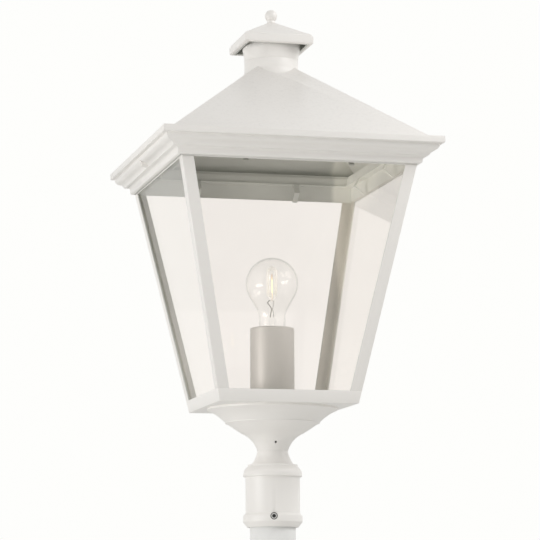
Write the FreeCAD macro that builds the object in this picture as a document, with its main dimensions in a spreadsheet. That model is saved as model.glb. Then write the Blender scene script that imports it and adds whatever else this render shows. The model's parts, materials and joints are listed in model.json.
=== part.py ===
import FreeCAD, Part
import math
import operator
import os

import Sketcher

# Post top lantern for a 52 mm post: a four-sided glazed cage on a spun bell and collar,
# under a moulded cornice, a pyramid roof and a small vent cap with a ball finial.
#
# Frame: millimetres, +Z up, the front faces -Y.  The origin is the centre of the collar's
# mouth, where the post goes in.  "half" is the distance from the axis to the flat of a
# square ring, "level" a height above the origin, and "_r" a radius.

# Driving dimensions, in millimetres and degrees.
SIZES = {
    # collar that fits over the post
    "post_bore_r": 26.4,
    "post_depth": 52.0,
    "mouth_r": 28.8,
    "ring_r": 33.6,
    "ring_low": 6.0,
    "ring_height": 6.8,
    "barrel_r": 30.8,
    "stop_height": 4.0,
    "bead_r": 33.4,
    "bead_chamfer": 1.2,
    "bead_height": 3.0,
    "crown_height": 9.5,
    "crown_arc": 12.0,
    "lip_r": 28.2,
    "lip_height": 2.0,
    "cove_r": 24.4,
    "cove_height": 15.3,
    "cove_arc": 30.0,
    "waist_r": 17.4,
    "cavity_r": 22.0,
    "cavity_height": 8.0,
    # grub screws that grip the post
    "grub_r": 4.0,
    "grub_length": 6.2,
    "grub_level": 11.6,
    "grub_sunk": 0.6,
    "grub_key": 2.3,
    "grub_key_depth": 3.0,
    "grub_angle": 258.6,
    # bell between collar and cage
    "bell_height": 48.9,
    "bell_wall": 1.5,
    "flare_r": 35.5,
    "flare_height": 20.4,
    "flare_arc": 29.9,
    "band_r": 52.3,
    "band_height": 31.5,
    "quirk_width": 1.2,
    "quirk_height": 0.9,
    "bell_mouth_r": 73.8,
    "mouth_arc": 54.0,
    "bell_rim": 2.4,
    "weep_r": 1.25,
    "weep_height": 9.2,
    "weep_angle": 266.0,
    # cage of sheet metal
    "foot_half": 79.7,
    "cage_top_half": 133.75,
    "cage_height": 261.8,
    "cage_sheet": 2.0,
    "rail_height": 13.8,
    "post_leg": 13.5,
    "edge_r": 1.2,
    "frame_step": 0.85,
    "frame_sheet": 1.5,
    "frame_height": 19.5,
    "ledge_width": 10.9,
    # glass and its retainers
    "glass_sheet": 3.0,
    "glass_gap": 0.2,
    "retainer_sheet": 1.0,
    "retainer_width": 60.0,
    "retainer_grip": 10.0,
    "retainer_foot": 9.0,
    "clip_sheet": 1.0,
    "clip_width": 6.0,
    "clip_half": 60.0,
    "clip_grip": 2.5,
    "clip_knee": 2.0,
    "clip_bulge": 5.0,
    "clip_drop": 10.5,
    # tube through the middle, its nuts and washer
    "tube_r": 5.0,
    "tube_bore_r": 3.7,
    "tube_below": 7.0,
    "tube_above": 7.0,
    "tube_nut_flat": 17.0,
    "tube_nut_height": 5.0,
    "washer_r": 11.0,
    "washer_height": 1.5,
    "fit_gap": 0.1,
    # lampholder, its sleeve and bracket
    "sleeve_r": 25.2,
    "sleeve_wall": 1.2,
    "sleeve_mouth_r": 17.0,
    "sleeve_round": 1.6,
    "sleeve_over": 1.3,
    "foot_disc_height": 4.0,
    "bracket_sheet": 1.5,
    "bracket_half": 17.5,
    "bracket_width": 14.0,
    "bracket_height": 41.3,
    "bracket_lug": 9.5,
    "holder_r": 19.8,
    "holder_height": 41.5,
    "holder_floor": 14.0,
    "holder_skirt_r": 17.6,
    "holder_skirt_height": 16.0,
    "shell_bore_r": 13.45,
    "shell_wall": 0.9,
    "shell_height": 21.0,
    "shell_rise": 4.0,
    "contact_r": 3.0,
    "contact_height": 2.9,
    "holder_screw_r": 1.6,
    "holder_screw_head_r": 3.0,
    "holder_screw_head": 2.2,
    "holder_screw_length": 10.0,
    "holder_screw_half": 12.5,
    # wiring inside the sleeve
    "block_depth": 13.5,
    "block_width": 20.0,
    "block_height": 14.0,
    "block_lift": 9.8,
    "block_wall": 3.0,
    "block_groove": 1.2,
    "pole_pitch": 6.5,
    "lead_r": 1.1,
    "clamp_r": 1.5,
    "clamp_length": 2.4,
    "earth_x": 13.0,
    "earth_head_r": 2.8,
    "earth_head": 2.2,
    # bulb
    "bulb_r": 30.0,
    "bulb_length": 108.0,
    "bulb_neck_r": 15.0,
    "bulb_neck_arc": 25.0,
    "bulb_cone_angle": 30.0,
    "bulb_glass": 1.0,
    "bulb_cap_r": 13.2,
    "bulb_cap_length": 26.5,
    "bulb_cap_wall": 0.5,
    "bulb_neck_in": 9.0,
    "insulator_height": 4.0,
    "tip_r": 4.6,
    "tip_height": 1.8,
    "tip_margin": 1.0,
    "capsule_point": 1.0,
    "contact_gap": 0.1,
    "stem_foot_r": 11.0,
    "stem_r": 3.4,
    "stem_flare": 8.0,
    "stem_height": 24.0,
    "capsule_r": 5.9,
    "capsule_wall": 0.8,
    "capsule_low": 58.0,
    "capsule_pinch": 4.0,
    "capsule_height": 41.0,
    "support_r": 0.5,
    "support_half": 1.9,
    "capsule_leg_r": 0.5,
    "filament_r": 0.9,
    "filament_lift": 9.0,
    "filament_height": 22.0,
    # moulded cornice
    "cornice_gap": 0.9,
    "cornice_lift": 1.1,
    "cornice_sheet": 1.6,
    "cornice_inset": 1.2,
    "band_out": 4.7,
    "band_round": 2.4,
    "band_flat": 3.2,
    "small_cove": 2.7,
    "small_cove_arc": 3.2,
    "step_out": 3.4,
    "step_rise": 0.4,
    "cyma_low_out": 4.8,
    "cyma_low_rise": 4.5,
    "cyma_high_out": 4.8,
    "cyma_high_rise": 5.7,
    "cyma_arc": 7.0,
    "drip_rise": 1.5,
    "soffit_out": 4.5,
    "fascia_height": 7.9,
    "fascia_round": 1.2,
    # roof
    "carrier_gap": 1.4,
    "carrier_flange": 6.0,
    "carrier_sheet": 1.5,
    "shelf_setback": 0.5,
    "roof_setback": 13.8,
    "roof_edge": 2.0,
    "roof_sheet": 1.5,
    "roof_angle": 38.3,
    "roof_neck_r": 31.0,
    "roof_neck_wall": 2.0,
    "roof_neck_height": 17.1,
    "roof_neck_fillet": 16.0,
    "fillet_sink": 0.3,
    # chimney neck and vent cap
    "spigot_depth": 8.0,
    "chimney_wall": 1.5,
    "chimney_top_r": 33.0,
    "chimney_show": 15.0,
    "chimney_in": 4.0,
    "chimney_flare": 13.0,
    "chimney_arc": 60.0,
    "cap_half": 40.3,
    "cap_rim": 9.6,
    "cap_rim_round": 1.1,
    "cap_sheet": 1.5,
    "cap_return": 6.0,
    "cap_step": 1.4,
    "cap_step_height": 1.3,
    "cap_angle": 30.0,
    "cap_top_half": 4.4,
    "rod_r": 2.5,
    "bridge_width": 12.0,
    "bridge_sheet": 2.0,
    "cap_nut_flat": 8.0,
    "cap_nut_height": 4.0,
    "cap_nut_drop": 0.3,
    "rod_below": 5.0,
    "ball_r": 7.2,
    "ball_foot_r": 4.9,
    "ball_neck_r": 4.3,
    "ball_neck_height": 3.0,
    # screws that hold the roof down
    "screw_level": 12.5,
    "screw_r": 2.0,
    "screw_gap": 0.2,
    "screw_run": 0.06,
    "screw_head_r": 3.3,
    "screw_head": 2.2,
    "screw_slot": 1.0,
    "screw_slot_depth": 1.0,
    "bush_r": 4.2,
    "bush_back": 7.2,
    "bush_face": 17.6,
}

doc = FreeCAD.newDocument("post_top_lantern")
sheet = doc.addObject("Spreadsheet::Sheet", "Sizes")


class Size:
    """A number together with the sheet formula that it comes from."""

    def __init__(self, value, formula):
        self.value = value
        self.formula = formula

    def __add__(self, other):
        return joined(self, "+", other, operator.add)

    def __radd__(self, other):
        return joined(other, "+", self, operator.add)

    def __sub__(self, other):
        return joined(self, "-", other, operator.sub)

    def __rsub__(self, other):
        return joined(other, "-", self, operator.sub)

    def __mul__(self, other):
        return joined(self, "*", other, operator.mul)

    def __rmul__(self, other):
        return joined(other, "*", self, operator.mul)

    def __truediv__(self, other):
        return joined(self, "/", other, operator.truediv)

    def __neg__(self):
        return joined(0, "-", self, operator.sub)


def as_size(number):
    return number if isinstance(number, Size) else Size(float(number), repr(float(number)))


def joined(left, sign, right, work):
    left, right = as_size(left), as_size(right)
    return Size(work(left.value, right.value), f"({left.formula} {sign} {right.formula})")


def root(size):
    return Size(math.sqrt(size.value), f"sqrt({size.formula})")


def sine(degrees):
    return Size(math.sin(math.radians(degrees.value)), f"sin({degrees.formula})")


def cosine(degrees):
    return Size(math.cos(math.radians(degrees.value)), f"cos({degrees.formula})")


def tangent(degrees):
    return Size(math.tan(math.radians(degrees.value)), f"tan({degrees.formula})")


class SizeSheet:
    """Writes the driving dimensions to the sheet and hands each one out by its name."""

    def __init__(self, sizes):
        for row, (name, value) in enumerate(sizes.items(), start=1):
            sheet.set(f"A{row}", name)
            sheet.set(f"B{row}", str(value))
            sheet.setAlias(f"B{row}", name)
            setattr(self, name, Size(value, f"Sizes.{name}"))


s = SizeSheet(SIZES)
doc.recompute()


# Document helpers

def bind(thing, field, size):
    """Ties one property of an object to the sheet."""
    if isinstance(size, Size):
        thing.setExpression(field, size.formula)
    elif size:
        thing.setExpression(field, repr(float(size)))


def origin_part(body, role):
    return next(part for part in body.Origin.OriginFeatures if part.Role == role)


def new_body(label):
    body = doc.addObject("PartDesign::Body", label)
    body.Label = label
    body.AllowCompound = True
    return body


def new_sketch(body, name, role="XY_Plane", lift=0):
    sketch = body.newObject("Sketcher::SketchObject", f"{body.Label}_{name}")
    sketch.AttachmentSupport = (origin_part(body, role), [""])
    sketch.MapMode = "FlatFace"
    bind(sketch, "AttachmentOffset.Base.z", lift)
    return sketch


def hold_point(sketch, edge, end, x, y):
    """Fixes one point of a sketch at (x, y) with constraints that follow the sheet."""
    for kind, place in (("DistanceX", x), ("DistanceY", y)):
        place = as_size(place)
        index = sketch.addConstraint(Sketcher.Constraint(kind, edge, end, place.value))
        sketch.setExpression(f"Constraints[{index}]", place.formula)


class Outline:
    """A closed run of straight edges and arcs; every corner is held by the sheet."""

    def __init__(self, sketch, x, y):
        self.sketch = sketch
        self.corners = [(as_size(x), as_size(y))]
        self.bends = []

    def line(self, x, y):
        self.corners.append((as_size(x), as_size(y)))
        self.bends.append(None)
        return self

    def arc(self, x, y, radius, centre):
        """Arc to (x, y); its centre is on the "left" or "right" of the way there."""
        self.corners.append((as_size(x), as_size(y)))
        self.bends.append((as_size(radius), centre))
        return self

    def close(self, radius=None, centre=None):
        self.bends.append((as_size(radius), centre) if radius else None)
        count = len(self.corners)
        start_ends = []
        for index, bend in enumerate(self.bends):
            here = point(self.corners[index])
            there = point(self.corners[(index + 1) % count])
            start_ends.append(add_edge(self.sketch, here, there, bend))
        for index, bend in enumerate(self.bends):
            following = (index + 1) % count
            first, last = start_ends[index]
            self.sketch.addConstraint(Sketcher.Constraint(
                "Coincident", index, last, following, start_ends[following][0]))
            hold_point(self.sketch, index, first, *self.corners[index])
            if bend:
                radius = bend[0]
                held = self.sketch.addConstraint(
                    Sketcher.Constraint("Radius", index, radius.value))
                self.sketch.setExpression(f"Constraints[{held}]", radius.formula)
        return self.sketch


def point(corner):
    return FreeCAD.Vector(corner[0].value, corner[1].value, 0)


def add_edge(sketch, here, there, bend):
    """Adds a line or an arc and tells which of its ends lies at each corner."""
    if bend is None:
        sketch.addGeometry(Part.LineSegment(here, there))
        return 1, 2
    radius, side = bend[0].value, 1 if bend[1] == "left" else -1
    chord = there - here
    across = FreeCAD.Vector(-chord.y, chord.x, 0).normalize()
    reach = math.sqrt(max(radius ** 2 - (chord.Length / 2) ** 2, 0.0))
    centre = here + chord * 0.5 + across * (side * reach)
    angles = [math.atan2(end.y - centre.y, end.x - centre.x) for end in (here, there)]
    circle = Part.Circle(centre, FreeCAD.Vector(0, 0, 1), radius)
    if side > 0:
        sketch.addGeometry(Part.ArcOfCircle(circle, angles[0], angles[1]))
        return 1, 2
    sketch.addGeometry(Part.ArcOfCircle(circle, angles[1], angles[0]))
    return 2, 1


def add_circle(sketch, x, y, radius):
    x, y, radius = as_size(x), as_size(y), as_size(radius)
    centre = FreeCAD.Vector(x.value, y.value, 0)
    edge = sketch.addGeometry(Part.Circle(centre, FreeCAD.Vector(0, 0, 1), radius.value))
    hold_point(sketch, edge, 3, x, y)
    held = sketch.addConstraint(Sketcher.Constraint("Radius", edge, radius.value))
    sketch.setExpression(f"Constraints[{held}]", radius.formula)
    return sketch


def rectangle(body, name, low, high, role="XY_Plane", lift=0):
    sketch = new_sketch(body, name, role, lift)
    corners = Outline(sketch, low[0], low[1]).line(high[0], low[1])
    return corners.line(high[0], high[1]).line(low[0], high[1]).close()


def round_square(body, name, lift, half, radius):
    """Square section about the axis with rounded corners."""
    flat = half - radius
    outline = Outline(new_sketch(body, name, lift=lift), -flat, -half)
    outline.line(flat, -half).arc(half, -flat, radius, "left")
    outline.line(half, flat).arc(flat, half, radius, "left")
    outline.line(-flat, half).arc(-half, flat, radius, "left")
    outline.line(-half, -flat)
    return outline.close(radius, "left")


def hexagon(body, name, lift, flat, bore_r):
    """Nut section: a hexagon of the given width across flats, with a round bore."""
    corner = flat / math.sqrt(3)
    outline = Outline(new_sketch(body, name, lift=lift), corner, 0)
    for x, y in ((0.5, 0.5), (-0.5, 0.5), (-1.0, 0.0), (-0.5, -0.5), (0.5, -0.5)):
        outline.line(corner * x, flat * y)
    return add_circle(outline.close(), 0, 0, bore_r)


def feature(body, kind, name, profile, **fields):
    made = body.newObject(f"PartDesign::{kind}", f"{body.Label}_{name}")
    made.Profile = profile
    for field, value in fields.items():
        if isinstance(value, Size):
            bind(made, field, value)
        else:
            setattr(made, field, value)
    return made


def revolve(body, profile, name="turned", kind="Revolution"):
    return feature(body, kind, name, profile,
                   ReferenceAxis=(profile, ["V_Axis"]), Angle=360.0)


def pad(body, profile, length, name="pad", **fields):
    return feature(body, "Pad", name, profile, Length=length, **fields)


def pocket(body, profile, length, name="cut", **fields):
    return feature(body, "Pocket", name, profile, Length=length, **fields)


def loft(body, sections, name="loft", kind="AdditiveLoft"):
    return feature(body, kind, name, sections[0], Sections=sections[1:], Ruled=True)


def pattern(body, originals, count):
    """Repeats features about the axis."""
    made = body.newObject("PartDesign::PolarPattern", f"{body.Label}_round")
    made.Originals = originals
    made.Axis = (origin_part(body, "Z_Axis"), [""])
    made.Angle = 360.0
    made.Occurrences = count
    body.Tip = made
    return made


def mirror(body, originals, role):
    made = body.newObject("PartDesign::Mirrored", f"{body.Label}_mirrored")
    made.Originals = originals
    made.MirrorPlane = (origin_part(body, role), [""])
    body.Tip = made
    return made


def turn(body, degrees):
    """Turns a body about the axis."""
    axis = FreeCAD.Vector(0, 0, 1)
    angle = as_size(degrees)
    body.Placement = FreeCAD.Placement(FreeCAD.Vector(), FreeCAD.Rotation(axis, angle.value))
    if isinstance(degrees, Size):
        bind(body, "Placement.Rotation.Angle", angle)


def mitred(body, name, outline, path_half):
    """Sweeps a section drawn at the right-hand side round a square with mitred corners."""
    path = Outline(new_sketch(body, f"{name}_path"), path_half, 0)
    path.line(path_half, path_half).line(-path_half, path_half)
    path.line(-path_half, -path_half).line(path_half, -path_half)
    return feature(body, "AdditivePipe", name, outline.close(),
                   Spine=(path.close(), [""]), Transition="Right corner")


def rod(label, x, y, level, radius, height):
    """Plain upright round bar."""
    bar = doc.addObject("Part::Cylinder", label)
    bar.Label = label
    bind(bar, "Radius", radius)
    bind(bar, "Height", height)
    bind(bar, "Placement.Base.x", x)
    bind(bar, "Placement.Base.y", y)
    bind(bar, "Placement.Base.z", level)
    return bar


def turned_body(label, outline):
    """Body turned from one closed outline of (radius, level)."""
    body = new_body(label)
    revolve(body, outline(new_sketch(body, "section", "XZ_Plane")))
    return body


# Levels that several pieces share, from the mouth of the collar upwards.

bead_low = s.post_depth + s.stop_height
crown_low = bead_low + s.bead_height
lip_low = crown_low + s.crown_height
cove_low = lip_low + s.lip_height
waist = cove_low + s.cove_height
web_low = s.post_depth + s.cavity_height

tray_low = waist + s.bell_height
floor_top = tray_low + s.cage_sheet
rail_top = tray_low + s.rail_height
cage_top = tray_low + s.cage_height
cage_slope = (s.cage_top_half - s.foot_half) / s.cage_height
lean = root(1 + cage_slope * cage_slope)
cage_wall = s.cage_sheet * lean
glass_wall = s.glass_sheet * lean
frame_half = s.cage_top_half - s.frame_step
frame_top = cage_top + s.frame_height

foot_disc_top = floor_top + s.foot_disc_height
bracket_floor = foot_disc_top + s.bracket_sheet
holder_low = foot_disc_top + s.bracket_height
holder_top = holder_low + s.holder_height
sleeve_top = holder_top + s.sleeve_over + s.sleeve_wall
bulb_tip = holder_low + s.holder_floor + s.contact_height + s.contact_gap

cornice_half = frame_half + s.cornice_gap
cornice_low = cage_top + s.cornice_lift
band_half = cornice_half + s.band_out
band_high = cornice_low + s.band_round + s.band_flat
step_half = band_half + s.small_cove
step_level = band_high + s.small_cove
cyma_half = step_half + s.step_out
cyma_level = step_level + s.step_rise
ogee_half = cyma_half + s.cyma_low_out
ogee_level = cyma_level + s.cyma_low_rise
drip_half = ogee_half + s.cyma_high_out
drip_level = ogee_level + s.cyma_high_rise
soffit_level = drip_level + s.drip_rise
fascia_half = drip_half + s.soffit_out
cornice_top = soffit_level + s.fascia_height
screw_z = cornice_low + s.screw_level

carrier_half = frame_half - s.carrier_gap
carrier_web_half = carrier_half - s.carrier_flange
shelf_half = carrier_web_half + s.shelf_setback

roof_half = fascia_half - s.roof_setback
roof_slope = tangent(s.roof_angle)
roof_low = cornice_top + s.roof_edge
roof_top_half = s.roof_neck_r / math.sqrt(2)
roof_peak = roof_low + roof_slope * (roof_half - roof_top_half)
roof_meets_neck = roof_low + roof_slope * (roof_half - s.roof_neck_r)
chimney_low = roof_meets_neck + s.roof_neck_height
cap_low = chimney_low + s.chimney_show
chimney_bore_r = s.roof_neck_r - s.roof_neck_wall
bridge_low = chimney_low + s.chimney_wall
bridge_top = bridge_low + s.bridge_sheet
cap_slope = tangent(s.cap_angle)
cap_roof_low = cap_low + s.cap_rim + s.cap_step_height
cap_roof_half = s.cap_half - s.cap_step
cap_top = cap_roof_low + cap_slope * (cap_roof_half - s.cap_top_half)
cap_inside = s.cap_sheet / cosine(s.cap_angle)
ball_level = (cap_top + s.ball_neck_height
              + root(s.ball_r * s.ball_r - s.ball_neck_r * s.ball_neck_r))


def cage_half(level):
    """Outer half width of the leaning cage at a level."""
    return s.foot_half + cage_slope * (level - tray_low)


# Collar and bell

def post_collar():
    """Turned collar: post socket below, cavity for the nut, web with the tube's hole."""
    def section(sketch):
        hole_r = s.tube_r + s.fit_gap
        ring_high = s.ring_low + s.ring_height
        outline = Outline(sketch, s.post_bore_r, 0).line(s.mouth_r, 0)
        outline.line(s.ring_r, s.ring_low).line(s.ring_r, ring_high)
        outline.line(s.barrel_r, ring_high + s.ring_r - s.barrel_r)
        outline.line(s.barrel_r, bead_low)
        outline.line(s.bead_r, bead_low + s.bead_chamfer)
        outline.line(s.bead_r, crown_low)
        outline.arc(s.lip_r, lip_low, s.crown_arc, "left")
        outline.line(s.lip_r, cove_low).line(s.cove_r, cove_low)
        outline.arc(s.waist_r, waist, s.cove_arc, "right")
        outline.line(hole_r, waist).line(hole_r, web_low)
        outline.line(s.cavity_r, web_low).line(s.cavity_r, s.post_depth)
        return outline.line(s.post_bore_r, s.post_depth).close()

    body = turned_body("post_collar", section)
    hole = new_sketch(body, "grub_hole", "YZ_Plane")
    add_circle(hole, 0, s.grub_level, s.grub_r + s.fit_gap)
    cut = pocket(body, hole, 2 * s.ring_r, "grub_hole", Reversed=True)
    pattern(body, [cut], 3)
    turn(body, s.grub_angle)
    return body


def collar_grub_screws():
    """Three socket grub screws whose tips stop short of the post."""
    body = new_body("collar_grub_screws")
    tip = s.ring_r - s.grub_sunk - s.grub_length
    shank = add_circle(new_sketch(body, "shank", "YZ_Plane", tip), 0, s.grub_level, s.grub_r)
    bar = pad(body, shank, s.grub_length, "shank")
    socket = new_sketch(body, "socket", "YZ_Plane", tip + s.grub_length)
    outline = Outline(socket, s.grub_key, s.grub_level)
    half, high = s.grub_key / 2, s.grub_key * math.sqrt(3) / 2
    outline.line(half, s.grub_level + high).line(-half, s.grub_level + high)
    outline.line(-s.grub_key, s.grub_level).line(-half, s.grub_level - high)
    outline.line(half, s.grub_level - high).close()
    key = pocket(body, socket, s.grub_key_depth, "socket")
    pattern(body, [bar, key], 3)
    turn(body, s.grub_angle)
    return body


def bell():
    """Spun bell with two swept flares, a flat web at its waist and a weep hole."""
    flare_level = waist + s.flare_height
    band_level = waist + s.band_height
    quirk_r = s.band_r + s.quirk_width
    quirk_level = band_level + s.quirk_height
    rim_low = tray_low - s.bell_rim

    def section(sketch):
        wall = s.bell_wall
        hole_r = s.tube_r + s.fit_gap
        outline = Outline(sketch, hole_r, waist).line(s.waist_r, waist)
        outline.arc(s.flare_r, flare_level, s.flare_arc, "right")
        outline.line(s.band_r, band_level).line(quirk_r, band_level)
        outline.line(quirk_r, quirk_level)
        outline.arc(s.bell_mouth_r, rim_low, s.mouth_arc, "right")
        outline.line(s.bell_mouth_r, tray_low)
        outline.line(s.bell_mouth_r - 2 * wall, tray_low)
        outline.line(s.bell_mouth_r - wall, rim_low + wall)
        outline.arc(quirk_r - wall, quirk_level + wall, s.mouth_arc, "left")
        outline.line(s.flare_r - wall, flare_level + wall)
        outline.arc(s.waist_r - wall, waist + wall, s.flare_arc, "left")
        return outline.line(hole_r, waist + wall).close()

    body = turned_body("bell", section)
    hole = new_sketch(body, "weep_hole", "YZ_Plane")
    add_circle(hole, 0, waist + s.weep_height, s.weep_r)
    pocket(body, hole, s.flare_r, "weep_hole", Reversed=True)
    turn(body, s.weep_angle)
    return body


# Cage

def base_tray():
    """Folded tray: floor, and four leaning rails that carry the posts."""
    body = new_body("base_tray")
    outside = [round_square(body, "outer_foot", tray_low, s.foot_half, s.edge_r),
               round_square(body, "outer_rim", rail_top, cage_half(rail_top), s.edge_r)]
    loft(body, outside, "outside")
    inside = [round_square(body, "inner_foot", floor_top,
                           cage_half(floor_top) - cage_wall, s.edge_r),
              round_square(body, "inner_rim", rail_top,
                           cage_half(rail_top) - cage_wall, s.edge_r)]
    loft(body, inside, "inside", "SubtractiveLoft")
    hole = add_circle(new_sketch(body, "hole", lift=floor_top), 0, 0, s.tube_r + s.fit_gap)
    pocket(body, hole, s.cage_sheet, "hole")
    return body


def post_section(body, name, level):
    """L section of a corner post at a level, its corner at front left."""
    half = cage_half(level)
    outline = Outline(new_sketch(body, name, lift=level), s.edge_r - half, -half)
    outline.line(s.post_leg - half, -half).line(s.post_leg - half, cage_wall - half)
    outline.line(cage_wall - half, cage_wall - half)
    outline.line(cage_wall - half, s.post_leg - half).line(-half, s.post_leg - half)
    return outline.line(-half, s.edge_r - half).close(s.edge_r, "left")


def corner_post(label, degrees):
    body = new_body(label)
    loft(body, [post_section(body, "foot", rail_top), post_section(body, "head", cage_top)])
    turn(body, degrees)
    return body


def top_frame():
    """Mitred angle frame on the posts: upright wall, and a ledge that the roof rests on."""
    body = new_body("top_frame")
    wall_half = frame_half - s.frame_sheet
    ledge_half = frame_half - s.ledge_width
    outline = Outline(new_sketch(body, "section", "XZ_Plane"), wall_half, cage_top)
    outline.line(frame_half, cage_top).line(frame_half, frame_top)
    outline.line(ledge_half, frame_top).line(ledge_half, frame_top - s.frame_sheet)
    outline.line(wall_half, frame_top - s.frame_sheet)
    mitred(body, "angle", outline, frame_half)
    return body


def pane_section(body, name, level, width_half, outer):
    return rectangle(body, name, (-width_half, -outer), (width_half, glass_wall - outer),
                     lift=level)


def glass_pane(label, degrees):
    """Trapezium of glass behind the posts, standing on the tray."""
    body = new_body(label)
    pane_top = cage_top - s.glass_gap
    sections = []
    for name, level in (("foot", floor_top), ("head", pane_top)):
        outer = cage_half(level) - cage_wall - s.glass_gap
        sections.append(pane_section(body, name, level, outer - glass_wall - s.glass_gap,
                                     outer))
    loft(body, sections)
    turn(body, degrees)
    return body


def retainer_face(level):
    """Distance from the axis to the inner face of the glass, less its gap."""
    return cage_half(level) - cage_wall - glass_wall - 2 * s.glass_gap


def glass_retainers_lower():
    """Four angle strips on the floor that keep the glass against the rails."""
    body = new_body("glass_retainers_lower")
    half = s.retainer_width / 2
    thick = s.retainer_sheet * lean
    sections = []
    for name, level in (("strip_foot", floor_top), ("strip_head", floor_top + s.retainer_grip)):
        outer = retainer_face(level)
        sections.append(rectangle(body, name, (-half, -outer), (half, thick - outer),
                                  lift=level))
    strip = loft(body, sections, "strip")
    outer = retainer_face(floor_top) - s.retainer_sheet / 2
    foot = rectangle(body, "foot", (-half, -outer), (half, s.retainer_foot - outer),
                     lift=floor_top)
    flange = pad(body, foot, s.retainer_sheet, "foot")
    pattern(body, [strip, flange], 4)
    return body


def glass_retainers_upper():
    """Spring clips under the ledge, two to a side, that bow inwards and press on the glass."""
    body = new_body("glass_retainers_upper")
    thick = s.clip_sheet
    under = frame_top - s.frame_sheet
    outer = retainer_face(cage_top)
    knee = frame_half - s.ledge_width - s.clip_knee
    bulge, bulge_level = knee - s.clip_bulge, under - s.clip_drop
    tip = cage_top - s.clip_grip
    clips = []
    for name, side in (("near", 1), ("far", -1)):
        sketch = new_sketch(body, name, "XZ_Plane", side * s.clip_half)
        outline = Outline(sketch, outer, under).line(knee, under).line(bulge, bulge_level)
        outline.line(retainer_face(tip), tip).line(retainer_face(tip + thick), tip + thick)
        outline.line(bulge + thick, bulge_level).line(knee + thick, under - thick)
        outline.line(outer, under - thick)
        clips.append(pad(body, outline.close(), s.clip_width, f"{name}_clip",
                         SideType="Symmetric"))
    pattern(body, clips, 4)
    return body


# Tube, lampholder and wiring

tube_low = web_low - s.tube_below
tube_high = bracket_floor + s.tube_above


def tube_section(low, high, outer_r, bore_r):
    def section(sketch):
        outline = Outline(sketch, bore_r, low).line(outer_r, low)
        return outline.line(outer_r, high).line(bore_r, high).close()
    return section


def tube_nuts():
    """Nuts under the collar's web and on the bracket."""
    body = new_body("tube_nuts")
    under = web_low - s.washer_height - s.tube_nut_height
    for name, level in (("lower", under), ("upper", bracket_floor)):
        profile = hexagon(body, name, level, s.tube_nut_flat, s.tube_r)
        pad(body, profile, s.tube_nut_height, f"{name}_nut")
    return body


def lampholder_sleeve():
    """Inverted drawn cup over the lampholder, with a round mouth for the bulb."""
    def section(sketch):
        inner = s.sleeve_r - s.sleeve_wall
        small = s.sleeve_round - s.sleeve_wall
        outline = Outline(sketch, inner, floor_top).line(s.sleeve_r, floor_top)
        outline.line(s.sleeve_r, sleeve_top - s.sleeve_round)
        outline.arc(s.sleeve_r - s.sleeve_round, sleeve_top, s.sleeve_round, "left")
        outline.line(s.sleeve_mouth_r, sleeve_top)
        outline.line(s.sleeve_mouth_r, sleeve_top - s.sleeve_wall)
        outline.line(inner - small, sleeve_top - s.sleeve_wall)
        outline.arc(inner, sleeve_top - s.sleeve_wall - small, small, "right")
        return outline.close()
    return turned_body("lampholder_sleeve", section)


def holder_bracket():
    """Strap bent into a U with two lugs at the top; the nut clamps its base."""
    body = new_body("holder_bracket")
    out, sheet_t = s.bracket_half, s.bracket_sheet
    lug = out - s.bracket_lug
    outline = Outline(new_sketch(body, "strap", "XZ_Plane"), -out, foot_disc_top)
    outline.line(out, foot_disc_top).line(out, holder_low).line(lug, holder_low)
    outline.line(lug, holder_low - sheet_t).line(out - sheet_t, holder_low - sheet_t)
    outline.line(out - sheet_t, bracket_floor).line(sheet_t - out, bracket_floor)
    outline.line(sheet_t - out, holder_low - sheet_t).line(-lug, holder_low - sheet_t)
    outline.line(-lug, holder_low).line(-out, holder_low)
    pad(body, outline.close(), s.bracket_width, "strap", SideType="Symmetric")
    hole = add_circle(new_sketch(body, "hole", lift=bracket_floor), 0, 0,
                      s.tube_r + s.fit_gap)
    pocket(body, hole, s.bracket_sheet, "hole")
    lugs = new_sketch(body, "lug_holes", lift=holder_low)
    for side in (-1, 1):
        add_circle(lugs, side * s.holder_screw_half, 0, s.holder_screw_r + s.fit_gap)
    pocket(body, lugs, s.bracket_sheet, "lug_holes")
    return body


def holder_body():
    """Ceramic lampholder: thick floor, socket for the threaded shell, narrower foot."""
    def section(sketch):
        bore_r = s.shell_bore_r + s.shell_wall + s.fit_gap
        skirt = holder_low + s.holder_skirt_height
        socket = holder_low + s.holder_floor
        outline = Outline(sketch, 0, holder_low).line(s.holder_skirt_r, holder_low)
        outline.line(s.holder_skirt_r, skirt).line(s.holder_r, skirt)
        outline.line(s.holder_r, holder_top).line(bore_r, holder_top)
        return outline.line(bore_r, socket).line(0, socket).close()

    body = turned_body("holder_body", section)
    holes = new_sketch(body, "screw_holes", lift=holder_low)
    for side in (-1, 1):
        add_circle(holes, side * s.holder_screw_half, 0, s.holder_screw_r + s.fit_gap)
    pocket(body, holes, s.holder_screw_length, "screw_holes", Reversed=True)
    return body


def holder_screws():
    """Two pan head screws up through the lugs."""
    body = new_body("holder_screws")
    under = holder_low - s.bracket_sheet
    heads = new_sketch(body, "heads", lift=under - s.holder_screw_head)
    shanks = new_sketch(body, "shanks", lift=under)
    for side in (-1, 1):
        add_circle(heads, side * s.holder_screw_half, 0, s.holder_screw_head_r)
        add_circle(shanks, side * s.holder_screw_half, 0, s.holder_screw_r)
    pad(body, heads, s.holder_screw_head, "heads")
    pad(body, shanks, s.holder_screw_length, "shanks")
    return body


block_low = bracket_floor + s.block_lift
block_back = s.bracket_half - s.bracket_sheet
pole_x = block_back - s.block_depth + s.block_wall


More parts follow.
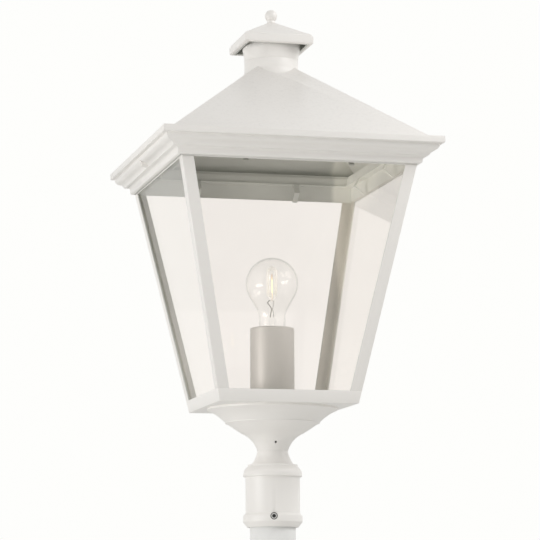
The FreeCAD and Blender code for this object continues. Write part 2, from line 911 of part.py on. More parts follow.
def terminal_block():
    """Three-way terminal block on the bracket's side, grooved between its poles."""
    body = new_body("terminal_block")
    half = s.block_width / 2
    front = s.block_depth - block_back
    profile = rectangle(body, "block", (-block_back, -half), (front, half), lift=block_low)
    pad(body, profile, s.block_height, "block")
    for name, place in (("groove_left", -0.5), ("groove_right", 0.5)):
        middle = s.pole_pitch * place
        groove = rectangle(body, name, (front - s.block_groove, middle - s.block_groove / 2),
                           (front, middle + s.block_groove / 2),
                           lift=block_low + s.block_height)
        pocket(body, groove, s.block_height, name)
    holes = new_sketch(body, "clamp_holes", "YZ_Plane", front)
    middle = block_low + s.block_height / 2
    for pole in (-1, 0, 1):
        add_circle(holes, pole * s.pole_pitch, middle, s.clamp_r + s.fit_gap)
    pocket(body, holes, s.clamp_length, "clamp_holes")
    return body


def terminal_screws():
    """One clamping screw in each pole of the block."""
    body = new_body("terminal_screws")
    front = s.block_depth - block_back
    middle = block_low + s.block_height / 2
    profile = new_sketch(body, "screws", "YZ_Plane", front - s.clamp_length)
    for pole in (-1, 0, 1):
        add_circle(profile, pole * s.pole_pitch, middle, s.clamp_r)
    pad(body, profile, s.clamp_length, "screws")
    return body


def leads():
    """Straight insulated leads from the block to the lampholder and the earth screw."""
    block_top = block_low + s.block_height
    upper = holder_low - block_top
    earth_top = bracket_floor + s.earth_head
    return [rod("lead_live", -pole_x, -s.pole_pitch, block_top, s.lead_r, upper),
            rod("lead_neutral", -pole_x, s.pole_pitch, block_top, s.lead_r, upper),
            rod("lead_earth", -s.earth_x, 0, earth_top, s.lead_r, block_low - earth_top),
            rod("earth_screw", -s.earth_x, 0, bracket_floor, s.earth_head_r, s.earth_head)]


# Bulb

cap_high = bulb_tip + s.bulb_cap_length
bulb_top = bulb_tip + s.bulb_length
thread_low = bulb_tip + s.tip_height + s.insulator_height
neck_low = cap_high - s.bulb_neck_in


def bulb_glass():
    """Pear-shaped envelope: a ball, a cone and a neck that is cemented into the cap."""
    centre = bulb_top - s.bulb_r
    down, across = sine(s.bulb_cone_angle), cosine(s.bulb_cone_angle)
    cone_r = s.bulb_r * across
    cone_level = centre - s.bulb_r * down
    tangent_run = s.bulb_neck_arc * tangent(s.bulb_cone_angle / 2)
    meets = cone_level - (cone_r - s.bulb_neck_r) * across / down
    arc_r = s.bulb_neck_r + tangent_run * down
    arc_high = meets + tangent_run * across
    arc_low = meets - tangent_run
    inner_r = s.bulb_cap_r - s.bulb_cap_wall - s.fit_gap
    glass = s.bulb_glass

    def section(sketch):
        outline = Outline(sketch, inner_r - glass, neck_low).line(inner_r, neck_low)
        outline.line(inner_r, cap_high).line(s.bulb_neck_r, cap_high + 2 * glass)
        outline.line(s.bulb_neck_r, arc_low)
        outline.arc(arc_r, arc_high, s.bulb_neck_arc, "right")
        outline.line(cone_r, cone_level)
        outline.arc(0, bulb_top, s.bulb_r, "left").line(0, bulb_top - glass)
        outline.arc(cone_r - glass * across, cone_level + glass * down, s.bulb_r - glass,
                    "right")
        outline.line(arc_r - glass * across, arc_high + glass * down)
        outline.arc(s.bulb_neck_r - glass, arc_low, s.bulb_neck_arc + glass, "left")
        outline.line(s.bulb_neck_r - glass, cap_high + 2 * glass)
        return outline.line(inner_r - glass, cap_high).close()
    return turned_body("bulb_glass", section)


def bulb_cap():
    """Metal screw cap, drawn as a plain shell at the thread's outer size."""
    def section(sketch):
        inner_r = s.bulb_cap_r - s.bulb_cap_wall
        shoulder_r = s.bulb_cap_r - 2 * s.bulb_cap_wall
        outline = Outline(sketch, shoulder_r - s.bulb_cap_wall, thread_low)
        outline.line(shoulder_r, thread_low)
        outline.line(s.bulb_cap_r, thread_low + 2 * s.bulb_cap_wall)
        outline.line(s.bulb_cap_r, cap_high).line(inner_r, cap_high)
        outline.line(inner_r, thread_low + 2 * s.bulb_cap_wall)
        return outline.close()
    return turned_body("bulb_cap", section)


def bulb_insulator():
    """Glass insulator that closes the foot of the cap round the contact."""
    def section(sketch):
        low = bulb_tip + s.tip_height
        outline = Outline(sketch, 0, low).line(s.tip_r + s.tip_margin, low)
        outline.line(s.bulb_cap_r - 2 * s.bulb_cap_wall, thread_low)
        return outline.line(0, thread_low).close()
    return turned_body("bulb_insulator", section)


def bulb_contact():
    """Domed contact at the tip."""
    def section(sketch):
        high = bulb_tip + s.tip_height
        bow = (s.tip_r * s.tip_r + s.tip_height * s.tip_height) / (2 * s.tip_height)
        return Outline(sketch, 0, high).line(0, bulb_tip).arc(s.tip_r, high, bow, "left").close()
    return turned_body("bulb_contact", section)


stem_top = neck_low + s.stem_height
capsule_low = bulb_tip + s.capsule_low


def bulb_stem():
    """Flared glass stem inside the neck that holds the capsule's wires."""
    def section(sketch):
        outline = Outline(sketch, 0, neck_low).line(s.stem_foot_r, neck_low)
        outline.line(s.stem_r, neck_low + s.stem_flare).line(s.stem_r, stem_top)
        return outline.line(0, stem_top).close()
    return turned_body("bulb_stem", section)


def capsule_glass():
    """Small halogen capsule with a pinched foot and a pointed tip."""
    pinch_r = s.capsule_r / 2
    shoulder = capsule_low + s.capsule_pinch
    capsule_top = capsule_low + s.capsule_height
    crown = capsule_top - s.capsule_r - s.capsule_point
    wall = s.capsule_wall

    def section(sketch):
        hole_r = s.capsule_leg_r + s.fit_gap
        outline = Outline(sketch, hole_r, capsule_low).line(pinch_r, capsule_low)
        outline.line(pinch_r, shoulder).line(s.capsule_r, shoulder + pinch_r)
        outline.line(s.capsule_r, crown)
        outline.arc(wall, capsule_top - s.capsule_point, s.capsule_r + s.capsule_point,
                    "left").line(0, capsule_top)
        outline.line(0, capsule_top - 2 * wall)
        outline.line(wall, capsule_top - s.capsule_point - 2 * wall)
        outline.line(s.capsule_r - wall, crown)
        outline.line(s.capsule_r - wall, shoulder + pinch_r + wall)
        return outline.line(hole_r, shoulder + pinch_r + wall).close()
    return turned_body("capsule_glass", section)


def capsule_filament():
    """Coiled filament, drawn at its outer size, on a leg through the pinched foot."""
    def section(sketch):
        coil_low = capsule_low + s.filament_lift
        coil_high = coil_low + s.filament_height
        outline = Outline(sketch, 0, capsule_low).line(s.capsule_leg_r, capsule_low)
        outline.line(s.capsule_leg_r, coil_low).line(s.filament_r, coil_low)
        return outline.line(s.filament_r, coil_high).line(0, coil_high).close()
    return turned_body("capsule_filament", section)


def capsule_supports():
    """Two wires from the stem to the capsule's foot."""
    body = new_body("capsule_supports")
    profile = new_sketch(body, "wires", lift=stem_top)
    for side in (-1, 1):
        add_circle(profile, side * s.support_half, 0, s.support_r)
    pad(body, profile, capsule_low - stem_top, "wires")
    return body


# Cornice, roof and what holds them

def cornice():
    """Mitred moulding in sheet metal: band, cove, step, ogee, drip, fascia and top flange."""
    body = new_body("cornice")
    sheet_t, inset, bend = s.cornice_sheet, s.cornice_inset, s.fascia_round
    inner_fascia = fascia_half - sheet_t
    flange_low = cornice_top - sheet_t
    profile = Outline(new_sketch(body, "moulding", "XZ_Plane"), cornice_half, cornice_low)
    profile.line(band_half - s.band_round, cornice_low)
    profile.arc(band_half, cornice_low + s.band_round, s.band_round, "left")
    profile.line(band_half, band_high)
    profile.arc(step_half, step_level, s.small_cove_arc, "right")
    profile.line(cyma_half, cyma_level)
    profile.arc(ogee_half, ogee_level, s.cyma_arc, "right")
    profile.arc(drip_half, drip_level, s.cyma_arc, "left")
    profile.line(drip_half, soffit_level).line(fascia_half - bend, soffit_level)
    profile.arc(fascia_half, soffit_level + bend, bend, "left")
    profile.line(fascia_half, cornice_top - bend)
    profile.arc(fascia_half - bend, cornice_top, bend, "left")
    profile.line(shelf_half, cornice_top).line(shelf_half, flange_low)
    profile.line(inner_fascia, flange_low).line(inner_fascia, soffit_level + sheet_t)
    profile.line(drip_half - sheet_t, soffit_level + sheet_t)
    profile.line(drip_half - inset, drip_level + inset)
    profile.arc(ogee_half - inset, ogee_level + inset, s.cyma_arc, "right")
    profile.arc(cyma_half - inset, cyma_level + inset, s.cyma_arc, "left")
    profile.line(step_half - inset, step_level + inset)
    profile.arc(band_half - sheet_t, band_high + inset, s.small_cove_arc, "left")
    profile.line(band_half - sheet_t, cornice_low + s.band_round)
    profile.line(band_half - s.band_round, cornice_low + sheet_t)
    profile.line(cornice_half, cornice_low + sheet_t)
    mitred(body, "sweep", profile, cornice_half)
    holes = add_circle(new_sketch(body, "bush_holes", "YZ_Plane"), 0, screw_z, s.bush_r)
    pocket(body, holes, 2 * fascia_half, "bush_holes", SideType="Symmetric")
    return body


def roof_carrier():
    """Mitred channel under the cornice's flange; it sets the roof down on the ledge."""
    body = new_body("roof_carrier")
    high = cornice_top - s.cornice_sheet
    back = carrier_web_half - s.carrier_sheet
    outline = Outline(new_sketch(body, "section", "XZ_Plane"), back, frame_top)
    outline.line(carrier_half, frame_top)
    outline.line(carrier_half, frame_top + s.carrier_sheet)
    outline.line(carrier_web_half, frame_top + s.carrier_sheet)
    outline.line(carrier_web_half, high - s.carrier_sheet)
    outline.line(carrier_half, high - s.carrier_sheet)
    outline.line(carrier_half, high).line(back, high)
    mitred(body, "channel", outline, carrier_half)
    return body


def roof_side(label, degrees):
    """One side of the pyramid: rim on the cornice and slope, mitred to its neighbours."""
    body = new_body(label)
    inner_low = cornice_top + s.roof_sheet
    inner_half = roof_half - s.roof_sheet / sine(s.roof_angle)
    inner_foot = inner_half + (s.roof_edge - s.roof_sheet) / roof_slope
    inner_top_half = chimney_bore_r / math.sqrt(2)
    inner_peak = roof_low + roof_slope * (inner_half - inner_top_half)
    outline = Outline(new_sketch(body, "section", "XZ_Plane"), shelf_half, cornice_top)
    outline.line(roof_half, cornice_top).line(roof_half, roof_low)
    outline.line(roof_top_half, roof_peak).line(inner_top_half, inner_peak)
    outline.line(inner_foot, inner_low).line(shelf_half, inner_low)
    pad(body, outline.close(), 2 * roof_half, "fold", SideType="Symmetric")
    for name, side in (("mitre_a", 1), ("mitre_b", -1)):
        waste = Outline(new_sketch(body, name, lift=roof_peak), 0, 0)
        waste.line(roof_half, side * roof_half).line(0, side * roof_half)
        pocket(body, waste.close(), roof_peak, name)
    bore = add_circle(new_sketch(body, "bore", lift=roof_peak), 0, 0, chimney_bore_r)
    pocket(body, bore, s.roof_neck_r, "bore")
    turn(body, degrees)
    return body


def roof_upstand():
    """Round upstand with a flared foot that is fitted to the four sides of the roof."""
    body = new_body("roof_upstand")
    run = s.roof_neck_fillet * tangent((90 - s.roof_angle) / 2)
    foot_r = s.roof_neck_r + run * cosine(s.roof_angle)
    foot_level = roof_meets_neck - run * sine(s.roof_angle) - s.fillet_sink
    outline = Outline(new_sketch(body, "section", "XZ_Plane"), chimney_bore_r, foot_level)
    outline.line(foot_r, foot_level)
    outline.arc(s.roof_neck_r, roof_meets_neck + run - s.fillet_sink, s.roof_neck_fillet,
                "right")
    outline.line(s.roof_neck_r, chimney_low).line(chimney_bore_r, chimney_low)
    revolve(body, outline.close())
    sides = [rectangle(body, name, (-half, -half), (half, half), lift=level)
             for name, half, level in (("eaves", roof_half, roof_low),
                                       ("peak", roof_top_half, roof_peak))]
    loft(body, sides, "sides", "SubtractiveLoft")
    return body


def chimney_neck():
    """Spun neck: a spigot in the roof's upstand, flaring slightly up into the cap."""
    def section(sketch):
        wall = s.chimney_wall
        spigot_r = chimney_bore_r - s.fit_gap
        flare_top = chimney_low + s.chimney_flare
        high = cap_low + s.chimney_in
        outline = Outline(sketch, spigot_r - wall, chimney_low - s.spigot_depth)
        outline.line(spigot_r, chimney_low - s.spigot_depth).line(spigot_r, chimney_low)
        outline.line(s.roof_neck_r, chimney_low)
        outline.arc(s.chimney_top_r, flare_top, s.chimney_arc, "right")
        outline.line(s.chimney_top_r, high).line(s.chimney_top_r - wall, high)
        outline.line(s.chimney_top_r - wall, flare_top)
        outline.arc(s.roof_neck_r - wall, chimney_low + wall, s.chimney_arc, "left")
        return outline.line(spigot_r - wall, chimney_low + wall).close()
    return turned_body("chimney_neck", section)


def vent_cap():
    """Pressed square cap: rim with a return, a small step and a low pyramid."""
    body = new_body("vent_cap")
    rim_top = cap_low + s.cap_rim
    bend = s.cap_rim_round
    rim = [round_square(body, "rim_low", cap_low, s.cap_half - bend, s.edge_r),
           round_square(body, "rim_a", cap_low + bend, s.cap_half, s.edge_r),
           round_square(body, "rim_b", rim_top - bend, s.cap_half, s.edge_r),
           round_square(body, "rim_top", rim_top, s.cap_half - bend, s.edge_r)]
    loft(body, rim, "rim")
    step = round_square(body, "step", rim_top, cap_roof_half, s.edge_r)
    pad(body, step, s.cap_step_height, "step")
    roof = [round_square(body, "roof_low", cap_roof_low, cap_roof_half, s.edge_r),
            round_square(body, "roof_top", cap_top, s.cap_top_half, s.edge_r)]
    loft(body, roof, "roof")
    lip_top = cap_low + s.cap_sheet
    wide = s.cap_half - s.cap_sheet
    shoulder = cap_roof_half - s.cap_sheet
    inside = [round_square(body, "inner_a", lip_top, wide, s.edge_r),
              round_square(body, "inner_b", rim_top - 2 * s.cap_sheet, wide, s.edge_r),
              round_square(body, "inner_c", cap_roof_low + cap_slope * s.cap_sheet
                           - cap_inside, shoulder, s.edge_r),
              round_square(body, "inner_d", cap_top - cap_inside, s.cap_top_half,
                           s.edge_r)]
    loft(body, inside, "inside", "SubtractiveLoft")
    opening = round_square(body, "opening", lip_top, s.cap_half - s.cap_return, s.edge_r)
    pocket(body, opening, s.cap_sheet, "opening")
    hole = add_circle(new_sketch(body, "rod_hole", lift=cap_top), 0, 0,
                      s.rod_r + s.fit_gap)
    pocket(body, hole, 2 * s.cap_sheet + cap_inside, "rod_hole")
    return body


def cap_bridge():
    """Strap that rests on the step inside the neck, with a hole for the cap's rod."""
    body = new_body("cap_bridge")
    end_r = s.roof_neck_r - s.chimney_wall - 2 * s.fit_gap
    half = s.bridge_width / 2
    reach = root(end_r * end_r - half * half)
    outline = Outline(new_sketch(body, "strap", lift=bridge_low), -reach, -half)
    outline.line(reach, -half).arc(reach, half, end_r, "left").line(-reach, half)
    sketch = add_circle(outline.close(end_r, "left"), 0, 0, s.rod_r + s.fit_gap)
    pad(body, sketch, s.bridge_sheet, "strap")
    return body


def cap_nuts():
    """Nuts on the rod: under and over the bridge, and one that the cap rests on."""
    body = new_body("cap_nuts")
    under_cap = cap_top - cap_inside - s.cap_nut_drop - s.cap_nut_height
    levels = {"lower": bridge_low - s.cap_nut_height, "upper": bridge_top, "cap": under_cap}
    for name, level in levels.items():
        profile = hexagon(body, name, level, s.cap_nut_flat, s.rod_r)
        pad(body, profile, s.cap_nut_height, f"{name}_nut")
    return body


def finial_ball():
    """Ball on a short waisted foot, with a blind bore for the rod."""
    def section(sketch):
        neck_level = cap_top + s.ball_neck_height
        outline = Outline(sketch, s.rod_r, cap_top).line(s.ball_foot_r, cap_top)
        outline.line(s.ball_neck_r, neck_level)
        outline.arc(s.ball_r, ball_level, s.ball_r, "left")
        outline.arc(0, ball_level + s.ball_r, s.ball_r, "left").line(0, ball_level)
        return outline.line(s.rod_r, ball_level).close()
    return turned_body("finial_ball", section)


def screw_bushes():
    """Threaded bushes through the cornice for the two screws that hold the roof down."""
    body = new_body("screw_bushes")
    back = cornice_half + s.bush_back
    profile = new_sketch(body, "ring", "YZ_Plane", back)
    add_circle(profile, 0, screw_z, s.bush_r)
    add_circle(profile, 0, screw_z, s.screw_r + s.screw_run)
    bush = pad(body, profile, s.bush_face - s.bush_back, "bush")
    mirror(body, [bush], "YZ_Plane")
    return body


def roof_screw(label, side):
    """Slotted screw along the X axis; its tip presses on the top frame's outer face."""
    tip = frame_half + s.screw_gap
    under_head = cornice_half + s.bush_face + s.fit_gap - tip
    crown = s.screw_head / 2

    def section(sketch):
        outline = Outline(sketch, 0, 0).line(s.screw_r - s.screw_run, 0)
        outline.line(s.screw_r, 2 * s.screw_run).line(s.screw_r, under_head)
        outline.line(s.screw_head_r, under_head)
        outline.line(s.screw_head_r, under_head + crown)
        bow = (s.screw_head_r * s.screw_head_r + crown * crown) / (2 * crown)
        outline.arc(0, under_head + s.screw_head, bow, "left")
        return outline.close()

    body = turned_body(label, section)
    half = s.screw_slot / 2
    head_top = under_head + s.screw_head
    slot = rectangle(body, "slot", (-half, -s.screw_head_r), (half, s.screw_head_r),
                     lift=head_top)
    pocket(body, slot, s.screw_slot_depth, "slot")
    across = FreeCAD.Rotation(FreeCAD.Vector(0, 1, 0), 90 * side)
    body.Placement = FreeCAD.Placement(FreeCAD.Vector(), across)
    bind(body, "Placement.Base.x", side * tip)
    bind(body, "Placement.Base.z", screw_z)
    return body


def build_all():
    """Makes every piece and hands them back in order, from the post upwards."""
    hole_wall = s.shell_bore_r + s.shell_wall
    socket = holder_low + s.holder_floor
    shell_low = socket + s.shell_rise
    nut_face = web_low - s.washer_height
    rod_low = bridge_low - s.rod_below
    pieces = [post_collar(), collar_grub_screws(), bell(), base_tray()]
    corners = ("front_left", "front_right", "back_right", "back_left")
    for quarter, place in enumerate(corners):
        pieces.append(corner_post(f"corner_post_{place}", 90 * quarter))
    pieces.append(top_frame())
    for quarter, place in enumerate(("front", "right", "back", "left")):
        pieces.append(glass_pane(f"glass_{place}", 90 * quarter))
    pieces += [glass_retainers_lower(), glass_retainers_upper()]
    pieces.append(turned_body("centre_tube",
                              tube_section(tube_low, tube_high, s.tube_r, s.tube_bore_r)))
    pieces.append(tube_nuts())
    pieces.append(turned_body("tube_washer",
                              tube_section(nut_face, web_low, s.washer_r,
                                           s.tube_r + s.fit_gap)))
    pieces.append(turned_body("sleeve_foot",
                              tube_section(floor_top, foot_disc_top,
                                           s.sleeve_r - s.sleeve_wall - s.fit_gap,
                                           s.tube_r + s.fit_gap)))
    pieces += [lampholder_sleeve(), holder_bracket(), holder_body(), holder_screws()]
    pieces.append(turned_body("contact_shell",
                              tube_section(shell_low, shell_low + s.shell_height,
                                           hole_wall, s.shell_bore_r)))
    pieces.append(rod("centre_contact", 0, 0, socket, s.contact_r, s.contact_height))
    pieces += [terminal_block(), terminal_screws()] + leads()
    pieces += [bulb_glass(), bulb_cap(), bulb_insulator(), bulb_contact(), bulb_stem()]
    pieces += [capsule_glass(), capsule_filament(), capsule_supports()]
    pieces += [cornice(), roof_carrier()]
    for quarter, place in enumerate(("right", "back", "left", "front")):
        pieces.append(roof_side(f"roof_side_{place}", 90 * quarter))
    pieces += [roof_upstand(), chimney_neck(), vent_cap(), cap_bridge(), cap_nuts()]
    pieces.append(finial_ball())
    pieces.append(rod("cap_rod", 0, 0, rod_low, s.rod_r, ball_level - rod_low))
    pieces += [screw_bushes(), roof_screw("roof_screw_left", -1),
               roof_screw("roof_screw_right", 1)]
    return pieces


def check(pieces):
    """Stops the build if any object or any piece's shape is not sound."""
    for thing in doc.Objects:
        if {"Invalid", "Error"} & set(thing.State):
            raise RuntimeError(f"{thing.Label} failed: {thing.State}")
    for piece in pieces:
        if piece.Shape.isNull() or not piece.Shape.isValid() or not piece.Shape.Solids:
            raise RuntimeError(f"{piece.Label} has no sound solid")


def write(pieces):
    os.makedirs("parts", exist_ok=True)
    for piece in pieces:
        piece.Shape.exportStep(f"parts/{piece.Label}.step")
        box = piece.Shape.BoundBox
        print(f"{piece.Label}: {len(piece.Shape.Solids)} solids, "
              f"{piece.Shape.Volume:.0f} mm3, z {box.ZMin:.1f} to {box.ZMax:.1f}, "
              f"x {box.XMin:.1f} to {box.XMax:.1f}")


all_pieces = build_all()
doc.recompute()
check(all_pieces)
write(all_pieces)
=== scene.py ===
"""Looks, stage and camera for the post top lantern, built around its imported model."""

import json
import math

import bpy
from bpy.props import FloatProperty, FloatVectorProperty, IntProperty, PointerProperty
from mathutils import Matrix, Vector

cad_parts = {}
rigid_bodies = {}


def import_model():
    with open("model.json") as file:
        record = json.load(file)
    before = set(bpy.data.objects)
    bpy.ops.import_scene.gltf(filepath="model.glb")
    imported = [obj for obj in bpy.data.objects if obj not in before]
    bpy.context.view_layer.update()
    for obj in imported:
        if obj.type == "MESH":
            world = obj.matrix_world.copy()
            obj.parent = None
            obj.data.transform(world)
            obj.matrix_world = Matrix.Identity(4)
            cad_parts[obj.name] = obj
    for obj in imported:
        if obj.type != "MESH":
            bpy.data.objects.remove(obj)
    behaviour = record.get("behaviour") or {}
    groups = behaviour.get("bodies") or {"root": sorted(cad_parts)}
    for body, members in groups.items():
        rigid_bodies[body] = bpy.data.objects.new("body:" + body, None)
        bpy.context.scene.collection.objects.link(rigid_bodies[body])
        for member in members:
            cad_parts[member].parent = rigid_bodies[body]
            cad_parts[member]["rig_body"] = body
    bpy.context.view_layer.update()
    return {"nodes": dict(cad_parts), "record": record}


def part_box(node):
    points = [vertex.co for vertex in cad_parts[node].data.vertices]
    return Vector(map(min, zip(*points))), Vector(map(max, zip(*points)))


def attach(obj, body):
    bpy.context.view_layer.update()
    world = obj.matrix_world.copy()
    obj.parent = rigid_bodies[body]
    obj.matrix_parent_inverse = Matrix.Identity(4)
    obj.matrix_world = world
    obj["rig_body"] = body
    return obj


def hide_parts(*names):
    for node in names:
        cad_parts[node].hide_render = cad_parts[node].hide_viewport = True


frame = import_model()

bl_info = {
    "name": "Post Top Lantern",
    "version": (1, 0, 0),
    "blender": (4, 5, 0),
    "location": "View3D > Sidebar > Lantern",
    "description": "Finishes, lamp details and a plain stage for a post top lantern",
    "category": "Object",
}

# Powder coated nodes and how far each one's edges are rounded.
COATED = {
    "post_collar": 0.0005, "bell": 0.0005, "base_tray": 0.0006, "top_frame": 0.0003,
    "corner_post_front_left": 0.0004, "corner_post_front_right": 0.0004,
    "corner_post_back_right": 0.0004, "corner_post_back_left": 0.0004,
    "cornice": 0.0004, "roof_side_right": 0.0002, "roof_side_back": 0.0002,
    "roof_side_left": 0.0002, "roof_side_front": 0.0002, "roof_upstand": 0.0002,
    "chimney_neck": 0.0003, "vent_cap": 0.0006, "finial_ball": 0.0003,
}
MITRED = ("cornice", "top_frame")
COATED_AS_DRAWN = ("glass_retainers_lower", "roof_carrier")
# Pieces whose coat gets painted shade all over, turning to painted light towards the right.
COATED_SHADED_ALL_OVER = ("glass_retainers_upper",)
PANES = ("glass_front", "glass_right", "glass_back", "glass_left")
ZINC_NODES = (
    "centre_tube", "tube_nuts", "tube_washer", "sleeve_foot", "holder_bracket",
    "holder_screws", "terminal_screws", "cap_bridge", "cap_nuts", "cap_rod",
)
ROOF_SCREWS = ("screw_bushes", "roof_screw_left", "roof_screw_right")
BRASS_NODES = ("centre_contact", "bulb_contact", "earth_screw")
# Each lead's material name and the two colours of its stripes.
LEADS = {
    "lead_live": ("Live lead", (0.22, 0.11, 0.06), (0.25, 0.13, 0.07)),
    "lead_neutral": ("Neutral lead", (0.07, 0.16, 0.44), (0.08, 0.18, 0.48)),
    "lead_earth": ("Earth lead", (0.14, 0.40, 0.10), (0.72, 0.66, 0.08)),
}

# Where the painted light on inward faces begins, along x: to its right they are painted
# lighter than the coat, as if lit.
PAINTED_LIGHT_SIDE = (0.104, 0.112)
# How far from the diagonal a mitre's fine seam starts and ends to fade.
SEAM = (0.00012, 0.00042)
# Directions of the collar's set screws in degrees, and from their axes the edges of the
# painted shade in each screw's socket and of the ring of painted shade round each screw.
GRUB_TURNS = (258.6, 18.6, 138.6)
GRUB_SOCKET_SHADE = (0.0019, 0.0024)
GRUB_RING_SHADE = (0.0029, 0.0034)

# Distances at which points of a mesh are merged.
MERGE = 0.000001
MERGE_PACKED = 0.000002
# Divisions of a threaded tube, up it and round it.
THREAD_ROWS, THREAD_COLUMNS = 96, 72
# The capsule's wires: share of their spread, the end a height is from, and the height.
BENT_WIRE = (
    (-1.0, "foot", -0.002), (-0.8, "foot", 0.003), (-0.1, "foot", 0.0075),
    (-1.6, "top", -0.0045), (-3.2, "top", -0.001), (-1.0, "top", 0.001),
)
STRAIGHT_WIRE = (
    (1.0, "foot", -0.002), (0.9, "foot", 0.003), (0.15, "foot", 0.0075),
    (0.9, "top", -0.004), (1.0, "top", 0.001),
)

# Each light's place and size, and the point that all are aimed at.
LIGHTS = {
    "key": ((-2.5, -0.7, 1.0), (1.6, 2.2)),
    "low": ((-2.2, -0.6, -0.2), (1.4, 0.7)),
    "fill": ((2.3, -0.7, 1.8), (1.4, 1.4)),
    "upper": ((0.9, -0.9, 1.2), (0.7, 0.7)),
}
LIGHTS_AIM = (0, 0, 0.3)
# Clear faces that a ray may pass; the capsule is seen through twelve.
CLEAR_FACES = 24


# Settings

def length(name, description, default):
    return FloatProperty(name=name, description=description, default=default,
                         subtype="DISTANCE", unit="LENGTH", precision=5)


def colour(name, description, default):
    return FloatVectorProperty(name=name, description=description, default=default,
                               subtype="COLOR", size=3, min=0.0, max=1.0)


def share(name, description, default):
    return FloatProperty(name=name, description=description, default=default,
                         min=0.0, max=1.0, subtype="FACTOR")


def watts(name, description, default):
    return FloatProperty(name=name, description=description, default=default,
                         min=0.0, unit="POWER")


def degrees(name, description, default):
    return FloatProperty(name=name, description=description,
                         default=math.radians(default), subtype="ANGLE")


class LanternFinishes(bpy.types.PropertyGroup):
    """Colours and surface qualities of the lantern."""

    coat: colour("Coat", "White powder coat", (0.88, 0.852, 0.82))
    # coat_inside is painted shade: the darker colour given to inward faces.
    coat_inside: colour("Coat inside", "Painted shade on the coat's inward faces", (0.64, 0.65, 0.61))
    # coat_right is painted light: inward faces at the right are painted lighter than the
    # coat.
    coat_right: colour("Coat right", "Painted light on the coat's inward faces at right",
                       (0.94, 0.945, 0.88))
    coat_roughness: share("Coat roughness", "Roughness of the powder coat", 0.38)
    sleeve: colour("Sleeve", "Satin grey of the lampholder's sleeve", (0.68, 0.665, 0.635))
    pane: colour("Pane", "What each face of a pane lets through", (0.988, 0.975, 0.966))
    pane_film: share("Pane film", "Share of a pane that shows as film", 0.016)
    # The rims are painted at the glass's edges: painted shade on the bulb and stem, a
    # painted highlight on the capsule.
    bulb_rim: colour("Bulb rim", "Bulb's glass seen edge on", (0.30, 0.32, 0.29))
    capsule_rim: colour("Capsule rim", "Capsule's glass seen edge on", (0.95, 0.94, 0.9))
    stem_rim: colour("Stem rim", "Stem's glass seen edge on", (0.66, 0.68, 0.64))
    zinc: colour("Zinc", "Zinc plated steel", (0.60, 0.60, 0.59))
    stainless: colour("Stainless", "Plain stainless steel", (0.66, 0.65, 0.63))
    brass: colour("Brass", "Turned brass", (0.72, 0.55, 0.28))
    cap_alloy: colour("Cap alloy", "Sheet of the lamp's cap", (0.80, 0.80, 0.79))
    support: colour("Support wire", "Wires that carry the capsule", (0.20, 0.18, 0.14))
    ceramic: colour("Ceramic", "Glazed lampholder", (0.88, 0.87, 0.82))
    block: colour("Block", "Moulded terminal block", (0.84, 0.84, 0.80))
    insulator: colour("Insulator", "Black glass under the cap", (0.03, 0.03, 0.035))
    glow: FloatProperty(name="Glow", description="Strength of the filament's warm glow",
                        default=1.6, min=0.0)


class LanternLamp(bpy.types.PropertyGroup):
    """Sizes of the lamp's fine parts."""

    thread_pitch: length("Thread pitch", "Rise of the lamp thread in one turn", 0.00363)
    thread_depth: length("Thread depth", "Depth of the rolled thread", 0.0009)
    cap_wall: length("Cap wall", "Sheet of the lamp's cap", 0.00035)
    cap_skirt: length("Cap skirt", "Plain height above the cap's thread", 0.004)
    shell_wall: length("Shell wall", "Sheet of the lampholder's threaded shell", 0.00030)
    coil_radius: length("Coil radius", "Radius of the filament's coil", 0.00072)
    coil_pitch: length("Coil pitch", "Rise of the coil in one turn", 0.00055)
    coil_turns: IntProperty(name="Coil turns", description="Turns of the filament",
                            default=38, min=1)
    coil_wire: length("Coil wire", "Radius of the filament's wire", 0.00016)
    support_wire: length("Support wire", "Radius of the capsule's bent wire", 0.00042)


class LanternStage(bpy.types.PropertyGroup):
    """Floor, stand, lights and camera."""

    floor: colour("Floor", "Pale floor", (0.90, 0.90, 0.885))
    floor_level: length("Floor level", "Height of the floor", -0.34)
    floor_size: length("Floor size", "Side of the floor", 12)
    stand: colour("Stand", "Pale display stand", (0.84, 0.835, 0.82))
    stand_radius: length("Stand radius", "Radius of the display stand", 0.0258)
    stand_gap: length("Stand gap", "Gap between the stand and the collar's stop", 0.001)
    stand_edge: length("Stand edge", "Rounding of the stand's edge", 0.0012)
    ambient: share("Ambient", "Strength of the even light from all round", 0.50)
    key_power: watts("Key power", "Power of the large light at left", 6.0)
    low_power: watts("Low power", "Power of the low light at left", 21.0)
    fill_power: watts("Fill power", "Power of the light at right", 14.0)
    upper_power: watts("Upper power", "Power of the near light above", 7.0)
    camera_distance: length("Camera distance", "From the lantern's axis, level", 2.999)
    camera_level: length("Camera level", "Height of the camera", -0.1333)
    camera_yaw: degrees("Yaw", "How far the camera stands to the left", 13.88)
    camera_pitch: degrees("Pitch", "How far the camera looks up", 8.09)
    camera_roll: degrees("Roll", "Tilt of the camera", -0.203)
    camera_aim: degrees("Aim", "Sideways aim off the axis", -0.042)
    camera_lens: FloatProperty(name="Lens", description="Focal length on a 36 mm sensor",
                               default=176.87, subtype="DISTANCE_CAMERA")


# Materials

